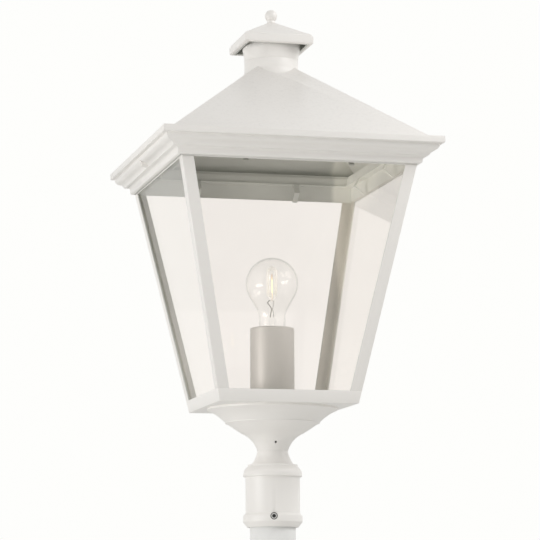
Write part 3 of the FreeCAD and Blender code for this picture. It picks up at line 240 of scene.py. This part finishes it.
class Field:
    """A socket of a finish; sums and products on it add its Math nodes."""

    def __init__(self, finish, socket):
        self.finish = finish
        self.socket = socket

    def math(self, operation, *others):
        values = enumerate((self, *others))
        return self.finish.node("ShaderNodeMath", values, operation=operation)

    def swapped(self, operation, other):
        values = enumerate((other, self))
        return self.finish.node("ShaderNodeMath", values, operation=operation)

    def __add__(self, other):
        return self.math("ADD", other)

    def __sub__(self, other):
        return self.math("SUBTRACT", other)

    def __mul__(self, other):
        return self.math("MULTIPLY", other)

    def __radd__(self, other):
        return self.swapped("ADD", other)

    def __rsub__(self, other):
        return self.swapped("SUBTRACT", other)

    def __rmul__(self, other):
        return self.swapped("MULTIPLY", other)

    def __abs__(self):
        return self.math("ABSOLUTE")

    def below(self, limit):
        return self.math("LESS_THAN", limit)

    def above(self, limit):
        return self.math("GREATER_THAN", limit)

    def power(self, exponent):
        return self.math("POWER", exponent)

    def fade(self, low, high):
        """0 below low, 1 above high, and smooth between them."""
        values = {"Value": self, "From Min": low, "From Max": high}
        return self.finish.node("ShaderNodeMapRange", values.items(),
                                interpolation_type="SMOOTHSTEP")


class Finish:
    """A node material under construction."""

    def __init__(self, name):
        self.material = bpy.data.materials.new(name)
        self.material.use_nodes = True
        self.tree = self.material.node_tree
        self.tree.nodes.clear()

    def node(self, kind, values=(), output=0, **settings):
        made = self.tree.nodes.new(kind)
        for name, value in settings.items():
            setattr(made, name, value)
        for name, value in values:
            if isinstance(value, Field):
                self.tree.links.new(value.socket, made.inputs[name])
            else:
                made.inputs[name].default_value = value
        return Field(self, made.outputs[output])

    def place(self):
        return self.node("ShaderNodeTexCoord", output="Object")

    def parts(self, vector):
        split = self.node("ShaderNodeSeparateXYZ", {"Vector": vector}.items())
        return [Field(self, socket) for socket in split.socket.node.outputs]

    def noise(self, vector, scale, detail=2.0, roughness=0.5):
        values = {"Vector": vector, "Scale": scale, "Detail": detail,
                  "Roughness": roughness}
        return self.node("ShaderNodeTexNoise", values.items())

    def stretched(self, vector, scale):
        return self.node("ShaderNodeMapping", {"Vector": vector, "Scale": scale}.items())

    def mix(self, amount, first, second):
        """Blends two colours."""
        values = {0: amount, 6: rgba(first), 7: rgba(second)}
        return self.node("ShaderNodeMix", values.items(), output=2, data_type="RGBA")

    def facing(self):
        """0 where the surface is seen face on, and 1 where it is seen edge on."""
        return self.node("ShaderNodeLayerWeight", {"Blend": 0.5}.items(), output="Facing")

    def slant(self):
        """How much plain glass mirrors at this slant, the same from both of its sides."""
        return self.facing().power(5.0) * 0.9 + 0.04

    def flat(self, tone):
        """A plain colour as a field."""
        return self.mix(0.0, tone, tone)

    def shade(self, tone, amount):
        """Multiplies a colour by a grey value."""
        return self.node("ShaderNodeVectorMath", {0: tone, 1: amount}.items(),
                         operation="MULTIPLY")

    def blend(self, amount, first, second):
        """Blends two shaders, and always leaves a little of the first."""
        values = {0: amount.math("MINIMUM", 0.95), 1: first, 2: second}
        return self.node("ShaderNodeMixShader", values.items())

    def bump(self, height, strength, distance):
        values = {"Height": height, "Strength": strength, "Distance": distance}
        return self.node("ShaderNodeBump", values.items())

    def surface(self, **values):
        named = {name.replace("_", " ").title(): value for name, value in values.items()}
        named = {{"Ior": "IOR"}.get(name, name): value for name, value in named.items()}
        return self.node("ShaderNodeBsdfPrincipled", named.items())

    def done(self, shader):
        out = self.tree.nodes.new("ShaderNodeOutputMaterial")
        self.tree.links.new(shader.socket, out.inputs["Surface"])
        return self.material


def rgba(tone):
    return tone if isinstance(tone, Field) else (*tone, 1.0)


def coat_finish(name, look, mitred=False, painted_shade_all_over=False):
    """Powder coat: fine orange peel, slight dust on upward faces, and painted shade on
    inward faces, darker in random patches, with painted light on those at the right.
    """
    made = Finish(name)
    place = made.place()
    x, y, _ = made.parts(place)
    normal = made.node("ShaderNodeNewGeometry", output="Normal")
    nx, ny, nz = made.parts(normal)
    # Inward faces, or every face of a piece with painted shade all over, get painted shade.
    inward = 1.0 if painted_shade_all_over else (nx * x + ny * y).below(-0.002)
    cloud = made.noise(place, 9.0, detail=4.0, roughness=0.6)
    speck = made.noise(place, 260.0, detail=3.0, roughness=0.7)
    peel = made.noise(place, 1500.0)
    # Painted shade on inward faces, turning to painted light towards the right; inward
    # faces are also darker in random patches.
    inside = made.mix(x.fade(*PAINTED_LIGHT_SIDE), look.coat_inside, look.coat_right)
    base = made.mix(inward, look.coat, inside)
    mottled = inward * (cloud.fade(0.35, 0.7) * 0.14)
    settled = nz.fade(0.55, 0.95) * speck.fade(0.45, 0.75) * 0.06
    level = 0.985 + cloud * 0.03 - mottled - settled
    if mitred:
        seam = 1.0 - abs(abs(x) - abs(y)).fade(*SEAM)
        level = level - seam * 0.16
    base = made.shade(base, level)
    rough = look.coat_roughness - 0.04 + cloud * 0.08 + settled * 2.0
    skin = made.bump(peel, strength=0.16, distance=0.0001)
    return made.done(made.surface(base_color=base, roughness=rough, normal=skin, ior=1.5))


def sleeve_finish(tone, roughness):
    """Satin coat on drawn sheet, with faint upright draw marks."""
    made = Finish("Sleeve coat")
    place = made.place()
    draw = made.noise(made.stretched(place, (1.0, 1.0, 0.04)), 420.0, detail=3.0)
    peel = made.noise(place, 1500.0)
    base = made.shade(made.flat(tone), 0.97 + draw * 0.06)
    skin = made.bump(draw * 0.4 + peel, strength=0.14, distance=0.0001)
    return made.done(made.surface(base_color=base, metallic=0.3, normal=skin,
                                  roughness=roughness + draw * 0.08))


def metal_finish(name, tone, roughness, tarnish=0.25):
    """Bare or plated metal with fine grain and patches of tarnish."""
    made = Finish(name)
    place = made.place()
    grain = made.noise(place, 900.0, detail=3.0, roughness=0.6)
    patch = made.noise(place, 140.0, detail=4.0, roughness=0.6).fade(0.45, 0.8)
    base = made.shade(made.flat(tone), 0.95 + grain * 0.10 - patch * tarnish)
    rough = roughness + grain * 0.12 + patch * 0.15
    skin = made.bump(grain, strength=0.2, distance=0.00006)
    return made.done(made.surface(base_color=base, metallic=1.0, roughness=rough,
                                  normal=skin))


def plain_finish(name, tone, roughness):
    """Moulded or glazed piece with a slight fleck."""
    made = Finish(name)
    place = made.place()
    fine = made.noise(place, 1100.0, detail=3.0, roughness=0.6)
    broad = made.noise(place, 60.0, detail=3.0)
    base = made.shade(made.flat(tone), 0.97 + broad * 0.06)
    skin = made.bump(fine, strength=0.1, distance=0.00005)
    return made.done(made.surface(base_color=base, roughness=roughness + fine * 0.06,
                                  normal=skin))


def stripe_finish(name, first, second):
    """Lead insulation in two colours, in stripes along its length."""
    made = Finish(name)
    place = made.place()
    x, _, z = made.parts(place)
    turn = (z * 900.0 + x * 900.0).math("SINE")
    fine = made.noise(place, 900.0)
    base = made.shade(made.mix(turn.above(0.2), first, second), 0.95 + fine * 0.1)
    return made.done(made.surface(base_color=base, roughness=0.5 + fine * 0.05))


def clear_glass(made, tone, mirror, amount):
    """Lets light straight through, tinted by tone, and mirrors by the given amount."""
    clear = made.node("ShaderNodeBsdfTransparent", {"Color": rgba(tone)}.items())
    return made.blend(amount, clear, mirror)


def pane_finish(tone, haze):
    """Clear float glass with a little film and a few rain marks."""
    made = Finish("Pane glass")
    place = made.place()
    film = made.noise(place, 14.0, detail=5.0, roughness=0.62).fade(0.35, 0.75)
    streaks = made.stretched(place, (1.0, 1.0, 0.18))
    rain = made.noise(streaks, 60.0, detail=4.0, roughness=0.6).fade(0.55, 0.8)
    amount = made.slant() * 0.7 + film * haze + rain * (haze * 0.5)
    mirror = made.surface(base_color=rgba((0.95, 0.955, 0.93)), metallic=1.0,
                          roughness=0.015 + film * 0.05)
    return made.done(clear_glass(made, tone, mirror, amount))


def blown_finish(name, rim, edge, slants, glow=0.0):
    """Blown glass: clear face on, and painted with rim where its wall is seen edge on, as
    painted shade or a painted highlight.

    The rim's share grows to edge between the two slants.
    """
    made = Finish(name)
    ripple = made.noise(made.place(), 55.0)
    skin = made.bump(ripple, strength=0.1, distance=0.0003)
    mirror = made.surface(base_color=rgba((0.97, 0.97, 0.96)), metallic=1.0,
                          roughness=0.02 + ripple * 0.03, normal=skin)
    # The wall's rim colour is painted shade or a painted highlight, and its glow is painted
    # light.
    wall = made.surface(base_color=rgba(rim), roughness=0.1 + ripple * 0.05,
                        emission_color=rgba((1.0, 0.96, 0.88)), emission_strength=glow)
    shine = clear_glass(made, (0.998, 0.998, 0.996), mirror,
                        made.slant() * 0.5 + ripple * 0.01)
    amount = made.facing().fade(*slants) * edge + glow * 0.1
    return made.done(made.blend(amount, shine, wall))


def grub_finish(tone):
    """Bright steel, with painted shade in a ring where the screw meets its hole and in its
    socket.
    """
    made = Finish("Grub screw steel")
    place = made.place()
    x, y, z = made.parts(place)
    low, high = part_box("collar_grub_screws")
    level = z - (low.z + high.z) / 2
    away = None
    for turn in GRUB_TURNS:
        angle = math.radians(turn)
        side = y * math.cos(angle) - x * math.sin(angle)
        here = (side * side + level * level).power(0.5)
        away = here if away is None else away.math("MINIMUM", here)
    grime = made.noise(place, 700.0, detail=3.0)
    # Painted shade: near black in a ring round each screw and in its socket.
    ring_shade = away.fade(*GRUB_RING_SHADE)
    socket = 1.0 - away.fade(*GRUB_SOCKET_SHADE)
    base = made.mix(ring_shade.math("MAXIMUM", socket), tone, (0.05, 0.05, 0.05))
    return made.done(made.surface(base_color=made.shade(base, 0.9 + grime * 0.2),
                                  metallic=0.8, roughness=0.25 + grime * 0.15))


def glow_finish(strength):
    """Filament wire with a warm glow that fades towards its ends."""
    made = Finish("Filament wire")
    z = made.parts(made.place())[2]
    low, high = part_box("capsule_filament")
    middle, end = (low.z + high.z) / 2, (high.z - low.z) / 2
    heat = 1.0 - abs(z - middle).fade(0.006, end)
    glow = made.mix(heat, (0.20, 0.08, 0.02), (1.0, 0.80, 0.42))
    return made.done(made.surface(base_color=rgba((0.30, 0.28, 0.26)), metallic=1.0,
                                  roughness=0.45, emission_color=glow,
                                  emission_strength=strength))


def stage_finish(name, tone):
    """Pale matt surface of the stage."""
    made = Finish(name)
    fine = made.noise(made.place(), 40.0, detail=4.0)
    base = made.shade(made.flat(tone), 0.99 + fine * 0.02)
    return made.done(made.surface(base_color=base, roughness=0.8))


def dress(names, material):
    """Gives nodes that keep their own shape their finish."""
    for name in names:
        node = frame["nodes"][name]
        node.data.materials.clear()
        node.data.materials.append(material)


# Modelling helpers

def fresh(name):
    """Names the piece just added and puts its place into its mesh."""
    bpy.ops.object.transform_apply(location=True, rotation=True, scale=True)
    piece = bpy.context.object
    piece.name = name
    piece.data.name = name
    return piece


def deselect():
    if bpy.context.object and bpy.context.object.mode != "OBJECT":
        bpy.ops.object.mode_set(mode="OBJECT")
    bpy.ops.object.select_all(action="DESELECT")


def finish_mesh():
    """Merges doubles and points the faces outwards."""
    bpy.ops.object.mode_set(mode="EDIT")
    bpy.ops.mesh.select_all(action="SELECT")
    bpy.ops.mesh.remove_doubles(threshold=MERGE)
    bpy.ops.mesh.normals_make_consistent(inside=False)
    bpy.ops.object.mode_set(mode="OBJECT")


def modify(piece, kind, **settings):
    """Adds a modifier and applies it."""
    modifier = piece.modifiers.new(kind.title(), kind)
    for name, value in settings.items():
        setattr(modifier, name, value)
    bpy.ops.object.modifier_apply(modifier=modifier.name)


def formed(name, edge, slot, material):
    """Copies a node's mesh, merges it, rounds its edges and lets it stand for the node."""
    deselect()
    node = frame["nodes"][name]
    piece = bpy.data.objects.new(f"{name}_formed", node.data.copy())
    bpy.context.scene.collection.objects.link(piece)
    piece.select_set(True)
    bpy.context.view_layer.objects.active = piece
    bpy.ops.object.mode_set(mode="EDIT")
    bpy.ops.mesh.select_all(action="SELECT")
    bpy.ops.mesh.remove_doubles(threshold=MERGE_PACKED)
    if edge:
        bpy.ops.mesh.dissolve_limited(angle_limit=math.radians(0.2))
    bpy.ops.object.mode_set(mode="OBJECT")
    if edge:
        modify(piece, "BEVEL", width=edge, segments=2, limit_method="ANGLE",
               angle_limit=math.radians(28), use_clamp_overlap=True)
    bpy.ops.object.shade_smooth_by_angle(angle=math.radians(32))
    seat(piece, node["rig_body"], slot, material, name)


def threaded_tube(name, outline, ends, depth, pitch, wall):
    """Rolled sheet tube with a round thread; outline gives its (level, radius) points.

    The thread goes inwards from the outline where depth is positive, and fades over one
    pitch at each of its ends.
    """
    deselect()
    bpy.ops.mesh.primitive_grid_add(x_subdivisions=THREAD_COLUMNS,
                                    y_subdivisions=THREAD_ROWS, size=2)
    piece = bpy.context.object
    low, high = outline[0][0], outline[-1][0]
    for vertex in piece.data.vertices:
        angle = math.pi * (vertex.co.x + 1)
        level = low + (vertex.co.y + 1) / 2 * (high - low)
        radius = next(r0 + (r1 - r0) * (level - z0) / (z1 - z0)
                      for (z0, r0), (z1, r1) in zip(outline, outline[1:])
                      if level <= z1 + 1e-9)
        fade = max(0.0, min(1.0, (level - ends[0]) / pitch, (ends[1] - level) / pitch))
        wave = 0.5 - 0.5 * math.cos(2 * math.pi * level / pitch - angle)
        radius -= depth * wave * fade
        vertex.co = (radius * math.cos(angle), radius * math.sin(angle), level)
    piece = fresh(name)
    finish_mesh()
    modify(piece, "SOLIDIFY", thickness=wall, offset=-1.0 if depth > 0 else 1.0)
    bpy.ops.object.shade_smooth_by_angle(angle=math.radians(40))
    return piece


def wire(name, points, radius):
    """Round wire through control points, with closed ends."""
    deselect()
    bpy.ops.curve.primitive_nurbs_path_add()
    curve = bpy.context.object
    curve.data.splines.clear()
    spline = curve.data.splines.new("NURBS")
    spline.points.add(len(points) - 1)
    for held, place in zip(spline.points, points):
        held.co = (*place, 1.0)
    spline.order_u = 3
    spline.use_endpoint_u = True
    curve.data.resolution_u = 10
    curve.data.bevel_depth = radius
    curve.data.bevel_resolution = 3
    curve.data.use_fill_caps = True
    bpy.ops.object.convert(target="MESH")
    piece = fresh(name)
    bpy.ops.object.shade_smooth_by_angle(angle=math.radians(50))
    return piece


def coil(name, radius, pitch, turns, wire_radius, low):
    """Close coil of round wire about the axis."""
    deselect()
    bpy.ops.mesh.primitive_circle_add(vertices=6, radius=wire_radius,
                                      location=(radius, 0, low),
                                      rotation=(math.pi / 2, 0, 0))
    piece = fresh(name)
    modify(piece, "SCREW", angle=2 * math.pi, screw_offset=pitch, iterations=turns,
           steps=14, render_steps=14, axis="Z", use_merge_vertices=True)
    bpy.ops.object.mode_set(mode="EDIT")
    bpy.ops.mesh.select_all(action="SELECT")
    bpy.ops.mesh.fill_holes(sides=8)
    bpy.ops.object.mode_set(mode="OBJECT")
    finish_mesh()
    bpy.ops.object.shade_smooth_by_angle(angle=math.radians(60))
    return piece


def joined(name, pieces):
    """Makes one piece of several."""
    deselect()
    for piece in pieces:
        piece.select_set(True)
    bpy.context.view_layer.objects.active = pieces[0]
    bpy.ops.object.join()
    pieces[0].name = name
    return pieces[0]


def seat(piece, body, slot, material, *nodes):
    """Gives a piece its finish, its body and the nodes that it stands for."""
    piece.data.materials.clear()
    piece.data.materials.append(material)
    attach(piece, body)
    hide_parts(*nodes)


# Operators

class LANTERN_OT_coat_metalwork(bpy.types.Operator):
    """Rounds the sheet metal's edges a little and powder coats it"""

    bl_idname = "lantern.coat_metalwork"
    bl_label = "Coat metalwork"

    def execute(self, context):
        look = context.scene.lantern_finishes
        plain = coat_finish("White coat", look)
        mitred = coat_finish("White coat, mitred", look, mitred=True)
        for name, edge in COATED.items():
            formed(name, edge, "white_coat", mitred if name in MITRED else plain)
        dress(COATED_AS_DRAWN, plain)
        # The upper retainers get painted shade all over.
        dress(COATED_SHADED_ALL_OVER, coat_finish("White coat, sheltered", look, painted_shade_all_over=True))
        formed("lampholder_sleeve", 0.0003, "grey_coat",
               sleeve_finish(look.sleeve, look.coat_roughness + 0.08))
        return {"FINISHED"}


class LANTERN_OT_glaze(bpy.types.Operator):
    """Glazes the four sides"""

    bl_idname = "lantern.glaze"
    bl_label = "Glaze"

    def execute(self, context):
        look = context.scene.lantern_finishes
        dress(PANES, pane_finish(look.pane, look.pane_film))
        return {"FINISHED"}


class LANTERN_OT_finish_fittings(bpy.types.Operator):
    """Finishes the tube, nuts, bracket, lampholder, wiring and screws"""

    bl_idname = "lantern.finish_fittings"
    bl_label = "Finish fittings"

    def execute(self, context):
        look = context.scene.lantern_finishes
        dress(ZINC_NODES, metal_finish("Zinc plate", look.zinc, 0.34))
        dress(BRASS_NODES, metal_finish("Brass", look.brass, 0.26, tarnish=0.2))
        dress(ROOF_SCREWS, plain_finish("Coated screw", look.coat, 0.35))
        dress(("collar_grub_screws",), grub_finish(look.stainless))
        dress(("holder_body",), plain_finish("Glazed ceramic", look.ceramic, 0.12))
        dress(("terminal_block",), plain_finish("Block", look.block, 0.45))
        dress(("bulb_insulator",), plain_finish("Insulator", look.insulator, 0.15))
        for node, (name, first, second) in LEADS.items():
            dress((node,), stripe_finish(name, first, second))
        return {"FINISHED"}


class LANTERN_OT_blow_bulb(bpy.types.Operator):
    """Finishes the bulb's glass, the capsule and the stem"""

    bl_idname = "lantern.blow_bulb"
    bl_label = "Blow bulb"

    def execute(self, context):
        look = context.scene.lantern_finishes
        # The bulb's and stem's grey edges are painted shade.
        formed("bulb_glass", 0.0, "bulb_envelope",
               blown_finish("Bulb glass", look.bulb_rim, 0.2, (0.66, 0.9)))
        # The capsule's white edges are a painted highlight, and its glow painted light.
        formed("capsule_glass", 0.0, "bulb_envelope",
               blown_finish("Capsule glass", look.capsule_rim, 0.5, (0.2, 0.7), glow=0.3))
        formed("bulb_stem", 0.0, "bulb_envelope",
               blown_finish("Stem glass", look.stem_rim, 0.12, (0.5, 0.9)))
        return {"FINISHED"}


class LANTERN_OT_thread_caps(bpy.types.Operator):
    """Rolls the threads of the lamp's cap and the lampholder's shell"""

    bl_idname = "lantern.thread_caps"
    bl_label = "Thread caps"

    def execute(self, context):
        look, lamp = context.scene.lantern_finishes, context.scene.lantern_lamp
        low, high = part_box("bulb_cap")
        outside = high.x
        outline = [(low.z, outside - 1.1 * lamp.thread_depth),
                   (low.z + 2 * lamp.thread_depth, outside), (high.z, outside)]
        cap = threaded_tube("bulb_cap_thread", outline, (low.z, high.z - lamp.cap_skirt),
                            lamp.thread_depth, lamp.thread_pitch, lamp.cap_wall)
        alloy = metal_finish("Cap alloy", look.cap_alloy, 0.30, tarnish=0.1)
        seat(cap, "bulb", "cap_alloy", alloy, "bulb_cap")

        low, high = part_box("contact_shell")
        bore = high.x - lamp.thread_depth
        shell = threaded_tube("holder_shell_thread", [(low.z, bore), (high.z, bore)],
                              (low.z, high.z), lamp.shell_wall - lamp.thread_depth,
                              lamp.thread_pitch, lamp.shell_wall)
        seat(shell, "lantern", "brass", bpy.data.materials["Brass"], "contact_shell")
        return {"FINISHED"}


class LANTERN_OT_wind_filament(bpy.types.Operator):
    """Winds the filament and bends the wires that carry the capsule"""

    bl_idname = "lantern.wind_filament"
    bl_label = "Wind filament"

    def execute(self, context):
        look, lamp = context.scene.lantern_finishes, context.scene.lantern_lamp
        low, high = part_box("capsule_filament")
        coil_low = high.z - lamp.coil_turns * lamp.coil_pitch
        wound = coil("filament_wound", lamp.coil_radius, lamp.coil_pitch, lamp.coil_turns,
                     lamp.coil_wire, coil_low)
        leg = wire("filament_leg", [(0, 0, low.z), (0, 0, low.z + 0.004),
                                    (0.0003, 0, coil_low - 0.002),
                                    (lamp.coil_radius, 0, coil_low)], 1.6 * lamp.coil_wire)
        seat(joined("filament_coil", [wound, leg]), "bulb", "filament",
             glow_finish(look.glow), "capsule_filament")

        low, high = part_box("capsule_supports")
        levels = {"foot": low.z, "top": high.z}
        side = high.x - lamp.support_wire
        pair = []
        for name, route, radius in (
            ("support_left", BENT_WIRE, lamp.support_wire),
            ("support_right", STRAIGHT_WIRE, lamp.support_wire * 0.6),
        ):
            points = [(part * side, 0, levels[end] + rise) for part, end, rise in route]
            pair.append(wire(name, points, radius))
        seat(joined("support_wires", pair), "bulb", "filament",
             metal_finish("Support wire", look.support, 0.4), "capsule_supports")
        return {"FINISHED"}


class LANTERN_OT_set_stage(bpy.types.Operator):
    """Adds the floor, the display stand and the lights"""

    bl_idname = "lantern.set_stage"
    bl_label = "Set stage"

    def execute(self, context):
        stage = context.scene.lantern_stage
        deselect()
        bpy.ops.mesh.primitive_plane_add(size=stage.floor_size,
                                         location=(0, 0, stage.floor_level))
        floor = fresh("floor")
        bpy.ops.object.mode_set(mode="EDIT")
        bpy.ops.mesh.subdivide(number_cuts=3)
        bpy.ops.object.mode_set(mode="OBJECT")
        floor.data.materials.append(stage_finish("Pale floor", stage.floor))

        stop = frame["record"]["mounts"][0]["dims"]["length_mm"] / 1000
        height = stop - stage.stand_gap - stage.floor_level
        deselect()
        bpy.ops.mesh.primitive_cylinder_add(vertices=96, radius=stage.stand_radius,
                                            depth=height,
                                            location=(0, 0, stage.floor_level + height / 2))
        stand = fresh("display_stand")
        modify(stand, "BEVEL", width=stage.stand_edge, segments=2, limit_method="ANGLE")
        bpy.ops.object.shade_smooth_by_angle(angle=math.radians(35))
        stand.data.materials.append(stage_finish("Pale stand", stage.stand))

        for name, (place, size) in LIGHTS.items():
            light(context, name, place, size, getattr(stage, f"{name}_power"))
        world_light(context, stage.ambient)
        context.scene.cycles.transparent_max_bounces = CLEAR_FACES
        return {"FINISHED"}


def light(context, name, place, size, power):
    """Rectangular soft light aimed at the cage."""
    data = bpy.data.lights.new(name, "AREA")
    data.shape = "RECTANGLE"
    data.size, data.size_y = size
    data.energy = power
    lamp = bpy.data.objects.new(name, data)
    context.scene.collection.objects.link(lamp)
    aim = Vector(LIGHTS_AIM) - Vector(place)
    lamp.location = place
    lamp.rotation_euler = aim.to_track_quat("-Z", "Y").to_euler()


def world_light(context, ambient):
    """Even light from all round; the camera, gloss and glass see plain white."""
    world = bpy.data.worlds.new("Pale surroundings")
    world.use_nodes = True
    tree = world.node_tree
    tree.nodes.clear()
    path = tree.nodes.new("ShaderNodeLightPath")
    seen = path.outputs["Is Camera Ray"]
    for name in ("Is Glossy Ray", "Is Transmission Ray"):
        larger = tree.nodes.new("ShaderNodeMath")
        larger.operation = "MAXIMUM"
        tree.links.new(seen, larger.inputs[0])
        tree.links.new(path.outputs[name], larger.inputs[1])
        seen = larger.outputs[0]
    level = tree.nodes.new("ShaderNodeMapRange")
    level.inputs["To Min"].default_value = ambient
    tree.links.new(seen, level.inputs["Value"])
    sky = tree.nodes.new("ShaderNodeBackground")
    sky.inputs["Color"].default_value = (0.99, 0.99, 0.972, 1.0)
    tree.links.new(level.outputs[0], sky.inputs["Strength"])
    out = tree.nodes.new("ShaderNodeOutputWorld")
    tree.links.new(sky.outputs[0], out.inputs["Surface"])
    context.scene.world = world


class LANTERN_OT_set_camera(bpy.types.Operator):
    """Adds the camera, low on the left and looking up"""

    bl_idname = "lantern.set_camera"
    bl_label = "Set camera"

    def execute(self, context):
        stage = context.scene.lantern_stage
        sine, cosine = math.sin(stage.camera_yaw), math.cos(stage.camera_yaw)
        ahead, right = Vector((sine, cosine, 0)), Vector((cosine, -sine, 0))
        place = -stage.camera_distance * ahead
        place.z = stage.camera_level
        turn = Matrix.Rotation(-stage.camera_aim, 3, "Z")
        ahead, right = turn @ ahead, turn @ right
        up = Vector((0, 0, 1))
        look = ahead * math.cos(stage.camera_pitch) + up * math.sin(stage.camera_pitch)
        over = up * math.cos(stage.camera_pitch) - ahead * math.sin(stage.camera_pitch)
        across = right * math.cos(stage.camera_roll) + over * math.sin(stage.camera_roll)
        over = over * math.cos(stage.camera_roll) - right * math.sin(stage.camera_roll)
        data = bpy.data.cameras.new("camera")
        data.lens = stage.camera_lens
        data.sensor_width = 36.0
        data.clip_start, data.clip_end = 0.05, 60.0
        camera = bpy.data.objects.new("camera", data)
        context.scene.collection.objects.link(camera)
        turned = Matrix((across, over, -look)).transposed().to_4x4()
        camera.matrix_world = Matrix.Translation(place) @ turned
        context.scene.camera = camera
        context.scene.view_settings.view_transform = "Standard"
        return {"FINISHED"}


class LANTERN_PT_workshop(bpy.types.Panel):
    """Steps that dress the lantern, in order"""

    bl_idname = "LANTERN_PT_workshop"
    bl_label = "Post top lantern"
    bl_space_type = "VIEW_3D"
    bl_region_type = "UI"
    bl_category = "Lantern"

    def draw(self, context):
        column = self.layout.column()
        for step in STEPS:
            column.operator(step.bl_idname)
        for group in ("lantern_finishes", "lantern_lamp", "lantern_stage"):
            settings = getattr(context.scene, group)
            for name in settings.__annotations__:
                column.prop(settings, name)


STEPS = (
    LANTERN_OT_set_camera, LANTERN_OT_set_stage, LANTERN_OT_coat_metalwork,
    LANTERN_OT_glaze, LANTERN_OT_finish_fittings, LANTERN_OT_blow_bulb,
    LANTERN_OT_thread_caps, LANTERN_OT_wind_filament,
)
GROUPS = {"lantern_finishes": LanternFinishes, "lantern_lamp": LanternLamp,
          "lantern_stage": LanternStage}
CLASSES = (*GROUPS.values(), *STEPS, LANTERN_PT_workshop)


def register():
    for made in CLASSES:
        bpy.utils.register_class(made)
    for name, group in GROUPS.items():
        setattr(bpy.types.Scene, name, PointerProperty(type=group))


def unregister():
    for name in GROUPS:
        delattr(bpy.types.Scene, name)
    for made in reversed(CLASSES):
        bpy.utils.unregister_class(made)


def main():
    register()
    for step in STEPS:
        family, name = step.bl_idname.split(".")
        if getattr(getattr(bpy.ops, family), name)() != {"FINISHED"}:
            raise RuntimeError(f"{step.bl_label} did not finish")


if __name__ == "__main__":
    main()
